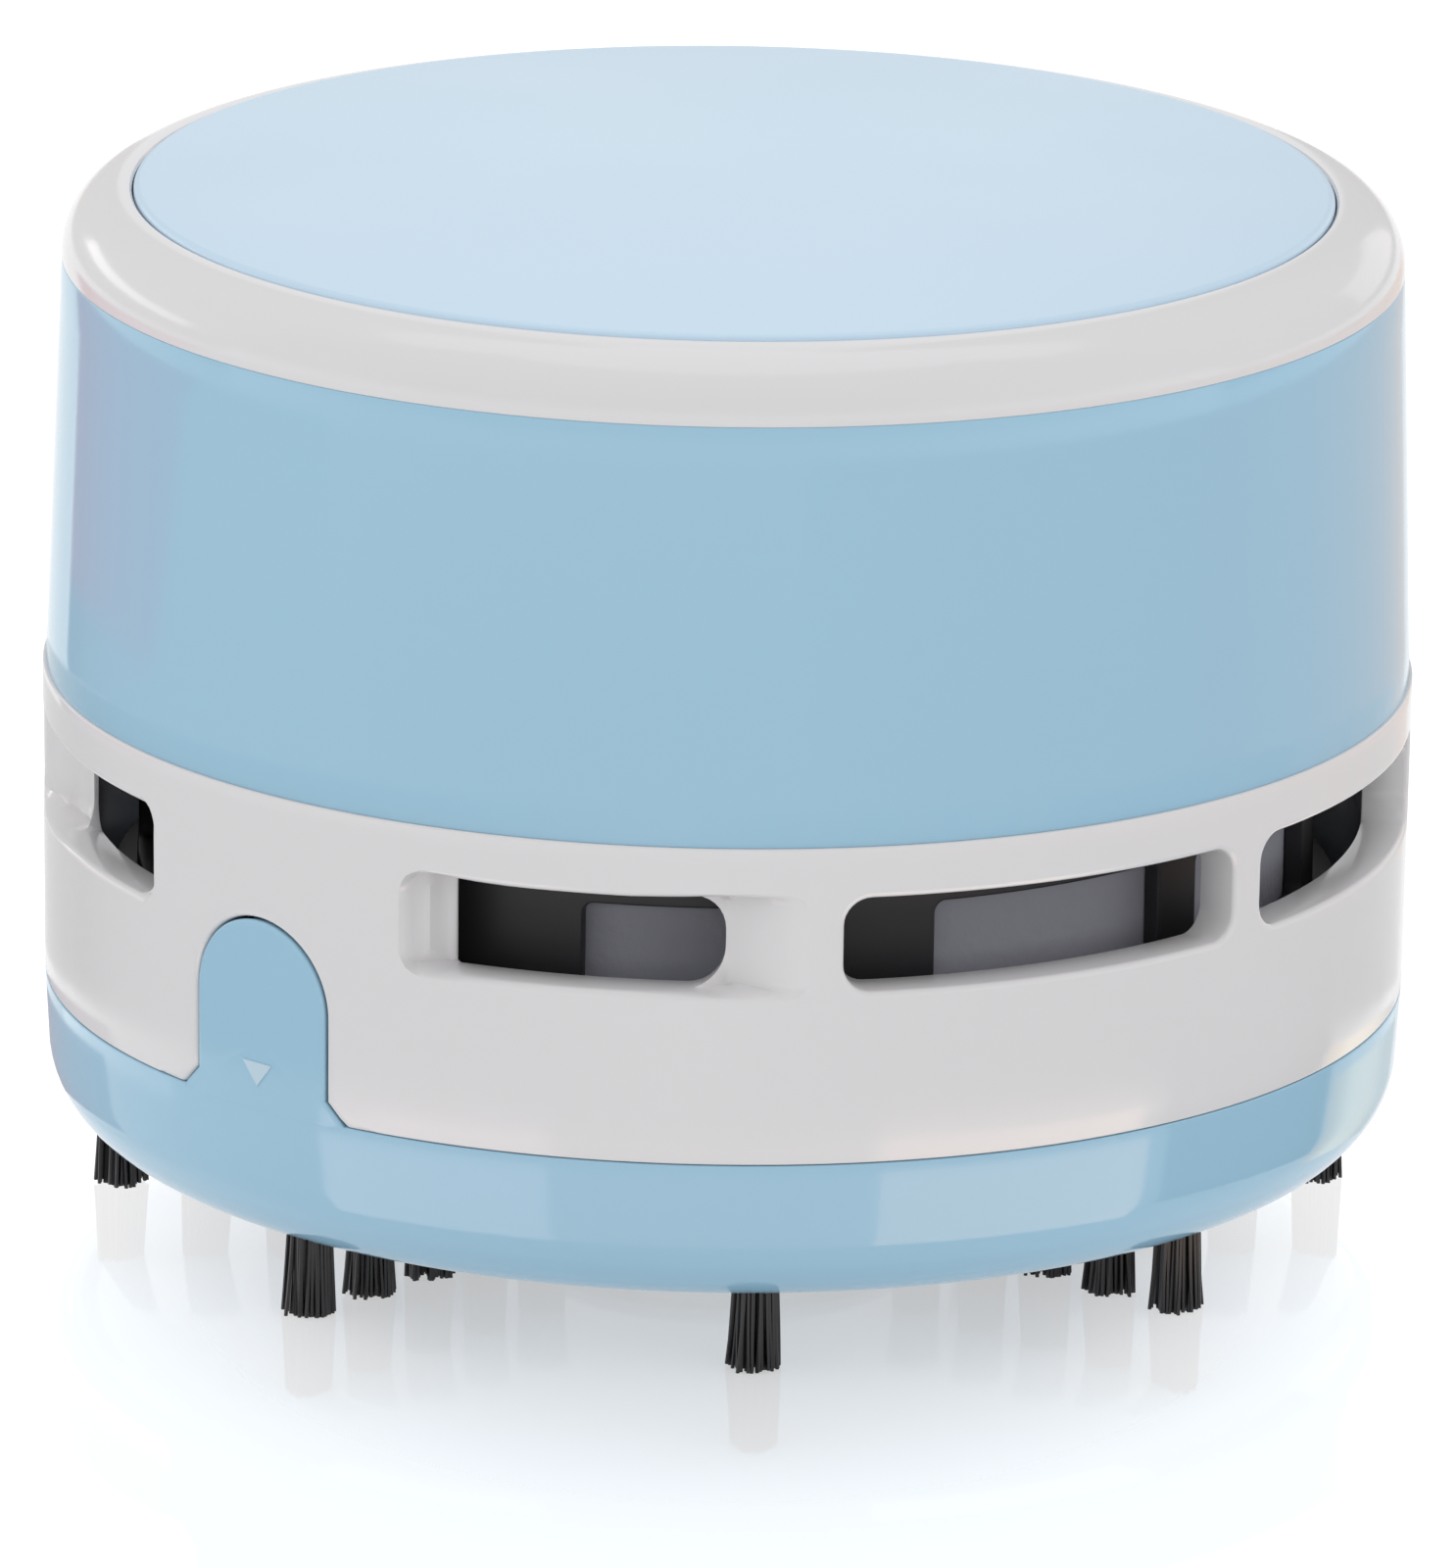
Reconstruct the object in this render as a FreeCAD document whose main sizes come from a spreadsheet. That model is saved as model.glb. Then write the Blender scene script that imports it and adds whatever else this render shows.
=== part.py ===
import FreeCAD, Part
import math
import os
import types

import Sketcher

# A round battery desk vacuum cleaner, 85 mm across and 64 mm tall, standing on brush tufts.
# Units are millimetres and degrees. Z is up and z = 0 is the plane of the bristle tips.
# The Z axis is the fan's axis. The front release tab faces -Y and the switch faces +Y.
# Angles named bearing run from the front tab, anticlockwise seen from above.

document = FreeCAD.newDocument("desk_vacuum")
sheet = document.addObject("Spreadsheet::Sheet", "sizes")

SIZES = {
    # heights of the stack of mouldings
    "underside_height": 4.7,
    "parting_height": 14.1,
    "ring_height": 4.5,
    "motor_headroom": 0.2,
    # the body round the cells
    "body_margin": 5.4,
    "band_widening": 0.2,
    "shell_narrowing": 0.9,
    "tray_narrowing": 0.25,
    # clearances and overruns
    "seam_gap": 0.2,
    "side_gap": 0.2,
    "running_gap": 0.03,
    "cut_overrun": 2.0,
    # dust tray
    "tray_corner_width": 5.0,
    "tray_corner_height": 5.3,
    "tray_skin": 2.0,
    "tray_floor": 1.8,
    "tray_groove_rise": 1.5,
    "spigot_wall": 1.5,
    "spigot_rise": 4.9,
    # suction nozzle
    "nozzle_bore_radius": 8.6,
    "nozzle_wall": 1.5,
    "nozzle_flange_width": 1.9,
    "nozzle_lip_drop": 1.1,
    "nozzle_lip_chamfer": 0.5,
    "nozzle_top_drop": 0.5,
    # rubber seal round the spigot
    "seal_width": 0.5,
    "seal_height": 1.5,
    "seal_rise": 0.9,
    # brush tufts
    "tuft_tip_radius": 1.75,
    "tuft_root_radius": 1.45,
    "tuft_hole_gap": 0.1,
    "tuft_hole_depth": 1.2,
    "tuft_inset": 4.8,
    "tuft_nozzle_gap": 4.4,
    "tuft_spoke_angle": 45.0,
    # release tabs
    "tab_half_width": 5.2,
    "tab_rise": 11.8,
    "tab_thickness": 2.1,
    "tab_flare": 1.3,
    "tab_arm_half_width": 3.4,
    "tab_arm_gap": 0.3,
    "tab_arm_thickness": 0.9,
    "tab_arm_drop": 3.3,
    "tab_arm_rise": 2.4,
    "tab_nose_height": 1.3,
    "tab_nose_reach": 1.0,
    "tab_bridge_height": 2.0,
    "arrow_half_width": 1.2,
    "arrow_height": 1.5,
    "arrow_foot": 1.4,
    "arrow_relief": 0.12,
    # vent band
    "band_wall": 3.0,
    "band_deck": 1.4,
    "band_deck_width": 8.5,
    "slot_floor_rise": 10.6,
    "slot_height": 6.2,
    "slot_headroom": 3.1,
    "slot_corner": 1.6,
    "slot_a_bearing": 18.2,
    "slot_a_sweep": 23.6,
    "slot_b_bearing": 51.4,
    "slot_b_sweep": 36.9,
    "slot_c_bearing": 91.7,
    "slot_c_sweep": 36.9,
    "slot_d_bearing": 138.2,
    "slot_d_sweep": 28.1,
    "recess_depth": 1.1,
    "recess_near_sweep": 4.0,
    "recess_far_sweep": 7.0,
    # upper shell
    "shell_wall": 2.0,
    "boss_inset": 5.3,
    "boss_bearing": 70.8,
    "boss_radius": 3.4,
    "boss_height": 11.0,
    # top ring and battery lid
    "crown_width": 4.3,
    "lid_thickness": 2.2,
    "lid_proud": 0.3,
    "lid_edge_radius": 0.4,
    "lid_rim_wall": 1.5,
    "lid_rim_depth": 1.7,
    "ledge_width": 1.1,
    "ledge_thickness": 1.5,
    "ring_skirt_wall": 1.6,
    "ring_skirt_depth": 3.7,
    "ring_crown_rise": 0.2,
    # motor plate
    "plate_thickness": 1.5,
    "plate_gap": 0.3,
    # battery cradle and cells
    "cell_radius": 7.25,
    "cell_body_length": 49.5,
    "cell_nub_radius": 2.75,
    "cell_nub_length": 1.0,
    "cell_motor_gap": 3.45,
    "cell_floor": 2.25,
    "cell_gap": 0.25,
    "contact_thickness": 0.4,
    "contact_width": 9.0,
    "contact_height": 11.0,
    "contact_tail": 3.4,
    "contact_tail_height": 2.4,
    "spring_length": 2.7,
    "spring_wide_radius": 3.2,
    "spring_narrow_radius": 2.2,
    "spring_wire": 0.6,
    "cradle_side_wall": 1.55,
    "cradle_end_wall": 2.6,
    "cradle_end_rise": 6.0,
    "cradle_shell_gap": 1.3,
    "cradle_window_half_width": 7.0,
    "cradle_window_length": 8.0,
    "cradle_screw_inset": 3.0,
    # motor
    "motor_radius": 10.0,
    "motor_flat_share": 0.75,
    "motor_can_height": 19.5,
    "motor_can_wall": 0.8,
    "motor_cap_height": 4.5,
    "motor_cap_roof": 1.2,
    "motor_cap_well_radius": 5.6,
    "motor_boss_radius": 3.0,
    "motor_bush_radius": 2.4,
    "magnet_thickness": 1.7,
    "magnet_height": 13.0,
    "magnet_foot": 3.5,
    "magnet_sweep": 84.0,
    "armature_gap": 1.1,
    "armature_height": 9.0,
    "armature_foot": 5.5,
    "armature_slot": 1.6,
    "armature_slot_depth": 4.4,
    "winding_inset": 0.9,
    "winding_overhang": 1.8,
    "commutator_radius": 2.2,
    "commutator_height": 4.0,
    "brush_thickness": 0.3,
    "brush_width": 1.6,
    "brush_gap": 0.1,
    "terminal_width": 2.0,
    "terminal_thickness": 0.4,
    "terminal_height": 1.8,
    "terminal_offset": 7.6,
    # fan
    "shaft_radius": 1.0,
    "shaft_foot_inset": 0.2,
    "shaft_top_drop": 0.5,
    "impeller_side_gap": 5.5,
    "impeller_back": 1.2,
    "impeller_plate_gap": 4.2,
    "impeller_height": 7.6,
    "impeller_hub_radius": 3.6,
    "blade_thickness": 1.2,
    "blade_inner_radius": 8.5,
    "blade_lean": 34.0,
    # filter cage
    "cage_inset": 0.7,
    "cage_wall": 1.2,
    "cage_skirt_depth": 4.0,
    "cage_flange_inset": 0.8,
    "cage_flange_thickness": 1.2,
    "cage_top_drop": 3.2,
    "cage_roof": 0.9,
    "cage_roof_width": 4.4,
    "cage_sill": 1.4,
    "cage_lintel": 1.7,
    "window_a_bearing": 28.1,
    "window_a_sweep": 22.0,
    "window_b_bearing": 61.9,
    "window_b_sweep": 24.9,
    "window_c_bearing": 93.2,
    "window_c_sweep": 24.0,
    "window_d_bearing": 129.9,
    "window_d_sweep": 22.0,
    "cloth_thickness": 0.8,
    # slide switch
    "switch_rise": 11.5,
    "switch_travel": 4.0,
    "pocket_half_width": 5.4,
    "pocket_half_height": 3.0,
    "pocket_depth": 1.7,
    "knob_half_width": 2.5,
    "knob_half_height": 2.4,
    "knob_height": 1.8,
    "knob_rib": 0.4,
    "stem_half_width": 1.0,
    "stem_half_height": 1.0,
    "switch_case_half_width": 5.2,
    "switch_case_half_height": 2.6,
    "switch_case_depth": 4.2,
    "switch_face_gap": 2.4,
    "slider_depth": 2.4,
    "slider_half_width": 1.6,
    "rail_width": 1.4,
    "rail_depth": 5.6,
    # screws
    "screw_head_radius": 1.9,
    "screw_head_height": 1.3,
    "screw_shank_radius": 1.0,
    "screw_length": 8.0,
    "screw_hole_gap": 0.15,
    "screw_recess_width": 0.5,
    "screw_recess_length": 2.2,
    "screw_recess_depth": 0.7,
    # wires
    "wire_radius": 0.6,
    "wire_bend": 1.9,
}


class Size:
    """A number that remembers the sum of sheet cells it came from."""

    def __init__(self, value, text):
        self.value = value
        self.text = text

    def __add__(self, other):
        other = as_size(other)
        return Size(self.value + other.value, f"({self.text} + {other.text})")

    def __sub__(self, other):
        other = as_size(other)
        return Size(self.value - other.value, f"({self.text} - {other.text})")

    def __mul__(self, other):
        other = as_size(other)
        return Size(self.value * other.value, f"({self.text} * {other.text})")

    def __truediv__(self, other):
        other = as_size(other)
        return Size(self.value / other.value, f"({self.text} / {other.text})")

    def __radd__(self, other):
        return as_size(other) + self

    def __rsub__(self, other):
        return as_size(other) - self

    def __rmul__(self, other):
        return as_size(other) * self

    def __neg__(self):
        return Size(-self.value, f"(-{self.text})")


def as_size(number):
    """A Size as it is, or a plain count or share as one."""
    return number if isinstance(number, Size) else Size(number, str(number))


def sine(angle):
    return Size(math.sin(math.radians(angle.value)), f"sin({angle.text})")


def cosine(angle):
    return Size(math.cos(math.radians(angle.value)), f"cos({angle.text})")


def root(number):
    return Size(math.sqrt(number.value), f"sqrt({number.text})")


for row, (alias, number) in enumerate(SIZES.items(), start=1):
    sheet.set(f"A{row}", alias)
    sheet.set(f"B{row}", str(number))
    sheet.setAlias(f"B{row}", alias)
document.recompute()
size = types.SimpleNamespace(**{a: Size(n, f"sizes.{a}") for a, n in SIZES.items()})


def bind(item, **places):
    """Ties properties of an object to sums of sheet cells. Two underscores stand for a dot."""
    for name, value in places.items():
        item.setExpression(name.replace("__", "."), as_size(value).text)
    return item


def place(item, x=0, y=0, z=0, turn=None, axis=(0, 0, 1)):
    """Moves an object to x, y, z and turns it about an axis through its own origin."""
    if turn is not None:
        about = FreeCAD.Rotation(FreeCAD.Vector(*axis), as_size(turn).value)
        item.Placement = FreeCAD.Placement(FreeCAD.Vector(0, 0, 0), about)
        bind(item, Placement__Rotation__Angle=turn)
    return bind(item, Placement__Base__x=x, Placement__Base__y=y, Placement__Base__z=z)


def add(kind, label):
    item = document.addObject(kind, label)
    item.Label = label
    return item


def cylinder(label, radius, height, sweep=None, **where):
    item = bind(add("Part::Cylinder", label), Radius=radius, Height=height)
    if sweep is not None:
        bind(item, Angle=sweep)
    return place(item, **where)


def cone(label, foot_radius, top_radius, height, **where):
    item = add("Part::Cone", label)
    bind(item, Radius1=foot_radius, Radius2=top_radius, Height=height)
    return place(item, **where)


def block(label, length, width, height, **where):
    item = bind(add("Part::Box", label), Length=length, Width=width, Height=height)
    return place(item, **where)


def centred_block(label, length, width, height, x=0, y=0, z=0):
    """A block centred on x and y, standing on z."""
    return block(label, length, width, height, x=x - length / 2, y=y - width / 2, z=z)


def fused(label, *pieces):
    item = add("Part::MultiFuse", label)
    item.Shapes = list(pieces)
    return item


def group(label, *pieces):
    """Separate solids kept under one name."""
    item = add("Part::Compound", label)
    item.Links = list(pieces)
    return item


def cut(label, base, *tools):
    item = add("Part::Cut", label)
    item.Base = base
    item.Tool = tools[0] if len(tools) == 1 else fused(label + "_tools", *tools)
    return item


def common(label, first, second):
    item = add("Part::Common", label)
    item.Base = first
    item.Tool = second
    return item


def arc_between(start, end, centre_height, side):
    """The arc from start to end round a centre at that height; side 1 is anticlockwise."""
    middle = (start + end) / 2
    across = end - start
    lift = (centre_height - middle.y) / across.x
    centre = middle + FreeCAD.Vector(-across.y, across.x, 0) * lift
    radius = (start - centre).Length
    first, last = (start, end) if side > 0 else (end, start)
    angles = [math.atan2(p.y - centre.y, p.x - centre.x) for p in (first, last)]
    if angles[1] < angles[0]:
        angles[1] += 2 * math.pi
    circle = Part.Circle(centre, FreeCAD.Vector(0, 0, 1), radius)
    return Part.ArcOfCircle(circle, angles[0], angles[1])


def outline_sketch(body, label, outline):
    """A closed sketch on the body's XZ plane. Each corner is (across, height), or
    (across, height, centre height, side) where an arc round such a centre arrives at it."""
    sketch = body.newObject("Sketcher::SketchObject", label)
    plane = [o for o in body.Origin.OriginFeatures if o.Role == "XZ_Plane"][0]
    sketch.AttachmentSupport = [(plane, "")]
    sketch.MapMode = "FlatFace"
    corners = [(as_size(c[0]), as_size(c[1])) for c in outline]
    points = [FreeCAD.Vector(a.value, b.value, 0) for a, b in corners]
    count = len(outline)
    starts = []
    ends = []
    centres = []
    for i in range(count):
        following = outline[(i + 1) % count]
        start, end = points[i], points[(i + 1) % count]
        if len(following) == 4:
            centre_height, side = following[2], following[3]
            sketch.addGeometry(arc_between(start, end, centre_height.value, side))
            centres.append((i, centre_height))
            starts.append(1 if side > 0 else 2)
            ends.append(2 if side > 0 else 1)
        else:
            sketch.addGeometry(Part.LineSegment(start, end))
            starts.append(1)
            ends.append(2)
    for i in range(count):
        after = (i + 1) % count
        sketch.addConstraint(Sketcher.Constraint("Coincident", i, ends[i], after, starts[after]))
    for i, (across, height) in enumerate(corners):
        for kind, length, axis in (("DistanceX", across, -2), ("DistanceY", height, -1)):
            if length.text == "0":
                sketch.addConstraint(Sketcher.Constraint("PointOnObject", i, starts[i], axis))
            else:
                rule = Sketcher.Constraint(kind, -1, 1, i, starts[i], length.value)
                index = sketch.addConstraint(rule)
                sketch.setExpression(f"Constraints[{index}]", length.text)
    for i, centre_height in centres:
        rule = Sketcher.Constraint("DistanceY", -1, 1, i, 3, centre_height.value)
        index = sketch.addConstraint(rule)
        sketch.setExpression(f"Constraints[{index}]", centre_height.text)
    return sketch


def turned(label, outline):
    """A solid turned about Z from an outline of (radius, height) corners."""
    body = add("PartDesign::Body", label)
    sketch = outline_sketch(body, label + "_outline", outline)
    turn = body.newObject("PartDesign::Revolution", label + "_turn")
    turn.Profile = sketch
    turn.ReferenceAxis = (sketch, ["V_Axis"])
    return body


def padded(label, outline, length, rear=False):
    """A solid drawn in the XZ plane and padded towards the front, or the rear."""
    body = add("PartDesign::Body", label)
    sketch = outline_sketch(body, label + "_outline", outline)
    pad = body.newObject("PartDesign::Pad", label + "_pad")
    pad.Profile = sketch
    pad.Reversed = rear
    bind(pad, Length=length)
    return body


def tube(label, bore_radius, radius, floor, top):
    """A plain ring from floor to top."""
    return turned(label, [(bore_radius, floor), (radius, floor), (radius, top), (bore_radius, top)])


def slot_sector(label, bore_radius, radius, floor, height, bearing, sweep, corner=None):
    """A piece of a ring from a bearing over a sweep, its ends rounded if a corner is given."""
    wedge = cylinder(label + "_wedge", radius, height, sweep=sweep, z=floor, turn=bearing - 90)
    core = cylinder(label + "_core", bore_radius, height + 2 * size.cut_overrun,
                    z=floor - size.cut_overrun)
    ring_piece = cut(label + "_ring", wedge, core)
    if corner is None:
        return ring_piece
    document.recompute()
    rounded = add("Part::Fillet", label)
    rounded.Base = ring_piece
    edges = []
    for index, edge in enumerate(ring_piece.Shape.Edges, start=1):
        level = abs(edge.Vertexes[0].Z - edge.Vertexes[-1].Z) < height.value / 2
        if isinstance(edge.Curve, Part.Line) and level:
            edges.append((index, corner.value, corner.value))
    rounded.Edges = edges
    return rounded


# The cells lie each side of the motor, and the body is as wide as they need
bay_length = size.cell_body_length + size.cell_nub_length + size.spring_length + 2 * size.contact_thickness
bay_half = bay_length / 2
half_flat_width = size.motor_radius * size.motor_flat_share
cell_offset = half_flat_width + size.cell_motor_gap + size.cell_radius
cell_reach = cell_offset + size.cell_radius
body_radius = root(cell_reach * cell_reach + bay_half * bay_half) + size.body_margin

# Radii shared by several pieces
band_foot_radius = body_radius - size.band_widening
band_bore = body_radius - size.band_wall
deck_bore_radius = band_bore - size.band_deck_width
tray_rim_radius = band_foot_radius
spigot_radius = band_bore - size.seal_width - size.side_gap
chamber_radius = spigot_radius - size.spigot_wall
shell_foot_radius = band_foot_radius
shell_top_radius = shell_foot_radius - size.shell_narrowing
boss_circle_radius = shell_foot_radius - size.boss_inset
cage_radius = chamber_radius - size.cage_inset
arm_outer_radius = band_bore - size.tab_arm_gap
arm_inner_radius = arm_outer_radius - size.tab_arm_thickness

# Heights shared by several pieces
tray_top = size.parting_height
tray_floor_top = size.underside_height + size.tray_floor
spigot_top = size.parting_height + size.spigot_rise
band_foot = size.parting_height + size.seam_gap
slot_floor = size.parting_height + size.slot_floor_rise
band_top = slot_floor + size.slot_height + size.slot_headroom
deck_floor = band_top - size.band_deck
plate_top = band_top + size.plate_thickness
cell_axis = plate_top + size.cell_floor + size.cell_radius
can_top = plate_top + size.motor_can_height
cap_top = can_top + size.motor_cap_height
shell_top = cap_top + size.motor_headroom
shell_height = shell_top - band_top
overall_top = shell_top + size.ring_height
tab_top = size.parting_height + size.tab_rise
arm_floor = tab_top - size.tab_arm_drop
arm_top = tab_top + size.tab_arm_rise
switch_axis = plate_top + size.switch_rise


def band_radius_at(rise):
    """The band's outer radius at a rise above its lower edge."""
    return band_foot_radius + size.band_widening * rise / (band_top - size.parting_height)


# Dust tray, a double-walled cup whose inner spigot rises inside the vent band
nozzle_hole = size.nozzle_bore_radius + size.nozzle_wall
nozzle_flange_radius = nozzle_hole + size.nozzle_flange_width
groove_radius = tray_rim_radius - size.tray_skin
groove_floor = tray_floor_top + size.tray_groove_rise
tray_cup = turned("dust_tray_cup", [
    (nozzle_hole, size.underside_height),
    (tray_rim_radius - size.tray_corner_width, size.underside_height),
    (tray_rim_radius - size.tray_narrowing, size.underside_height + size.tray_corner_height,
     size.underside_height + size.tray_corner_height, 1),
    (tray_rim_radius, tray_top),
    (groove_radius, tray_top),
    (groove_radius, groove_floor),
    (spigot_radius, groove_floor),
    (spigot_radius, spigot_top),
    (chamber_radius, spigot_top),
    (chamber_radius, tray_floor_top),
    (nozzle_hole, tray_floor_top),
])

# Brush tufts in eight spokes, six of five tufts and two of one at the outer ring
tuft_height = size.underside_height + size.tuft_hole_depth
tuft_hole_radius = size.tuft_root_radius + size.tuft_hole_gap
TUFTS_PER_SPOKE = [5, 1, 5, 5, 5, 1, 5, 5]
tuft_ring_radius = tray_rim_radius - size.tuft_inset
tuft_inner_radius = nozzle_flange_radius + size.tuft_nozzle_gap
tuft_pitch = (tuft_ring_radius - tuft_inner_radius) / (max(TUFTS_PER_SPOKE) - 1)
tuft_rows = []
tuft_holes = []
for spoke, tufts in enumerate(TUFTS_PER_SPOKE):
    bearing = spoke * size.tuft_spoke_angle
    row = []
    for ring in range(tufts):
        radius = tuft_ring_radius - ring * tuft_pitch
        at = {"x": radius * sine(bearing), "y": -radius * cosine(bearing)}
        name = f"tuft_{spoke}_{ring}"
        row.append(cone(name, size.tuft_tip_radius, size.tuft_root_radius, tuft_height, **at))
        tuft_holes.append(cylinder(name + "_hole", tuft_hole_radius,
                                   size.tuft_hole_depth + size.cut_overrun,
                                   z=size.underside_height - size.cut_overrun, **at))
    tuft_rows.append(group(f"brush_row_{round(bearing.value):03d}", *row))
dust_tray = cut("dust_tray", tray_cup, *tuft_holes)

# Suction nozzle, a lipped tube through the tray's floor that keeps the dust from falling back
nozzle_foot = size.underside_height - size.nozzle_lip_drop
suction_nozzle = turned("suction_nozzle", [
    (size.nozzle_bore_radius + size.nozzle_lip_chamfer, nozzle_foot),
    (nozzle_flange_radius - size.nozzle_lip_chamfer, nozzle_foot),
    (nozzle_flange_radius, nozzle_foot + size.nozzle_lip_chamfer),
    (nozzle_flange_radius, size.underside_height),
    (nozzle_hole, size.underside_height),
    (nozzle_hole, spigot_top - size.nozzle_top_drop),
    (size.nozzle_bore_radius, spigot_top - size.nozzle_top_drop),
    (size.nozzle_bore_radius, nozzle_foot + size.nozzle_lip_chamfer),
])

# Rubber seal that closes the gap between the spigot and the vent band
seal_floor = size.parting_height + size.seal_rise
tray_seal = tube("tray_seal", spigot_radius, spigot_radius + size.seal_width,
                 seal_floor, seal_floor + size.seal_height)


# Release tabs, tongues that stand in notches of the band and flex inwards
def tongue_outline(half_width, foot, straight_top, below):
    """A round-topped tongue with a flared foot, carried on down by below if that isn't zero."""
    flare = size.tab_flare
    sides = [
        (half_width + flare, foot),
        (half_width, foot + flare),
        (half_width, straight_top),
        (-half_width, straight_top, straight_top, 1),
        (-half_width, foot + flare),
        (-half_width - flare, foot),
    ]
    if below:
        sides.append((-half_width - flare, foot - below))
        sides.append((half_width + flare, foot - below))
    return sides


tab_straight_top = tab_top - size.tab_half_width
notch_half_width = size.tab_half_width + size.side_gap
tab_foot = band_foot
arm_height = arm_top - arm_floor
arm_width = 2 * size.tab_arm_half_width
nose_floor = arm_top - size.tab_nose_height


def release_tab(label, rear):
    """A tongue with its arrow, latch arm and nose, at the front or the rear."""
    side = 1 if rear else -1
    reach = body_radius + size.cut_overrun
    outline = tongue_outline(size.tab_half_width, tab_foot, tab_straight_top, None)
    blank = padded(label + "_blank", outline, reach, rear)
    skin_radius = band_radius_at(size.tab_rise)
    sleeve = turned(label + "_sleeve", [
        (skin_radius - size.tab_thickness, tab_foot),
        (band_foot_radius, tab_foot),
        (skin_radius, tab_top),
        (skin_radius - size.tab_thickness, tab_top),
    ])
    tongue = common(label + "_tongue", blank, sleeve)
    arrow_top = size.parting_height + size.arrow_foot + size.arrow_height
    arrow = padded(label + "_arrow", [
        (0, size.parting_height + size.arrow_foot),
        (size.arrow_half_width, arrow_top),
        (-size.arrow_half_width, arrow_top),
    ], reach, rear)
    arrow_shell = tube(label + "_arrow_shell", band_foot_radius - size.tab_thickness / 2,
                       band_foot_radius + size.arrow_relief,
                       size.parting_height + size.seam_gap, arrow_top + size.seam_gap)
    relief = common(label + "_relief", arrow, arrow_shell)
    arm_middle = (arm_outer_radius + arm_inner_radius) / 2
    arm = centred_block(label + "_arm", arm_width, size.tab_arm_thickness, arm_height,
                        y=side * arm_middle, z=arm_floor)
    bridge_reach = skin_radius - arm_inner_radius - size.tab_thickness / 2
    bridge = centred_block(label + "_bridge", arm_width, bridge_reach, size.tab_bridge_height,
                           y=side * (arm_inner_radius + bridge_reach / 2),
                           z=arm_floor)
    nose_length = size.tab_arm_thickness + size.tab_nose_reach
    nose = centred_block(label + "_nose", arm_width, nose_length, size.tab_nose_height,
                         y=side * (arm_inner_radius + nose_length / 2), z=nose_floor)
    return fused(label, tongue, relief, arm, bridge, nose)


push_tab_front = release_tab("push_tab_front", False)
push_tab_rear = release_tab("push_tab_rear", True)

# Vent band, a ring with a deck at its top, eight air slots and the two tab notches
boss_bearings = [size.boss_bearing, 180 - size.boss_bearing,
                 180 + size.boss_bearing, -size.boss_bearing]
boss_places = [{"x": boss_circle_radius * sine(b), "y": -boss_circle_radius * cosine(b)}
               for b in boss_bearings]
screw_hole_radius = size.screw_shank_radius + size.screw_hole_gap
band_blank = turned("vent_band_blank", [
    (band_bore, band_foot),
    (band_foot_radius, band_foot),
    (body_radius, band_top),
    (deck_bore_radius, band_top),
    (deck_bore_radius, deck_floor),
    (band_bore, deck_floor),
])
slot_inner = cage_radius
slot_outer = body_radius + size.cut_overrun
recess_inner = body_radius - size.recess_depth
SLOTS = {"a": (size.slot_a_bearing, size.slot_a_sweep), "b": (size.slot_b_bearing, size.slot_b_sweep),
         "c": (size.slot_c_bearing, size.slot_c_sweep), "d": (size.slot_d_bearing, size.slot_d_sweep)}
RECESSES = {
    "near": (size.slot_a_bearing - size.recess_near_sweep, size.recess_near_sweep + size.slot_a_sweep / 2),
    "far": (size.slot_a_bearing + size.slot_a_sweep / 2, size.slot_a_sweep / 2 + size.recess_far_sweep),
    "rear": (size.slot_d_bearing - size.recess_far_sweep, size.slot_d_sweep / 2 + size.recess_far_sweep),
}
band_tools = []
for half, half_turn in (("right", 0), ("left", 180)):
    for name, (bearing, sweep) in SLOTS.items():
        band_tools.append(slot_sector(f"slot_{name}_{half}", slot_inner, slot_outer, slot_floor,
                                      size.slot_height, bearing + half_turn, sweep, size.slot_corner))
    for name, (bearing, sweep) in RECESSES.items():
        band_tools.append(slot_sector(f"recess_{name}_{half}", recess_inner, slot_outer, slot_floor,
                                      size.slot_height, bearing + half_turn, sweep, size.slot_corner))
notch_top = tab_straight_top
for side_name, rear in (("front", False), ("rear", True)):
    notch = tongue_outline(notch_half_width, band_foot, notch_top, size.cut_overrun)
    band_tools.append(padded(f"notch_{side_name}", notch, slot_outer, rear))
    side = 1 if rear else -1
    groove_length = size.tab_nose_reach + arm_outer_radius + size.side_gap - cage_radius
    band_tools.append(centred_block(
        f"latch_groove_{side_name}", arm_width + 2 * size.side_gap, groove_length,
        arm_top + size.side_gap - arm_floor,
        y=side * (cage_radius + groove_length / 2), z=arm_floor))
for index, at in enumerate(boss_places):
    band_tools.append(cylinder(f"deck_hole_{index}", screw_hole_radius,
                               size.band_deck + 2 * size.cut_overrun,
                               z=deck_floor - size.cut_overrun, **at))
vent_band = cut("vent_band", band_blank, *band_tools)

# Upper shell, a tapered tube with four screw bosses and the pocket of the switch
shell_blank = turned("upper_shell_wall", [
    (shell_foot_radius - size.shell_wall, band_top),
    (shell_foot_radius, band_top),
    (shell_top_radius, shell_top),
    (shell_top_radius - size.shell_wall, shell_top),
])
bosses = [cylinder(f"boss_{i}", size.boss_radius, size.boss_height, z=plate_top, **at)
          for i, at in enumerate(boss_places)]
pocket_floor = shell_foot_radius - size.pocket_depth
rail_back = pocket_floor - size.rail_depth
rails = [block(f"switch_rail_{name}", size.rail_width, size.rail_depth,
               2 * size.switch_case_half_height, x=x, y=rail_back,
               z=switch_axis - size.switch_case_half_height)
         for name, x in (("left", -size.switch_case_half_width - size.rail_width),
                         ("right", size.switch_case_half_width))]
shell_body = fused("upper_shell_body", shell_blank, *bosses, *rails)
plate_radius = shell_foot_radius - size.shell_wall - size.plate_gap
plate_rebate = cylinder("plate_rebate", plate_radius + size.side_gap,
                        size.plate_thickness + size.cut_overrun, z=band_top - size.cut_overrun)
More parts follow.
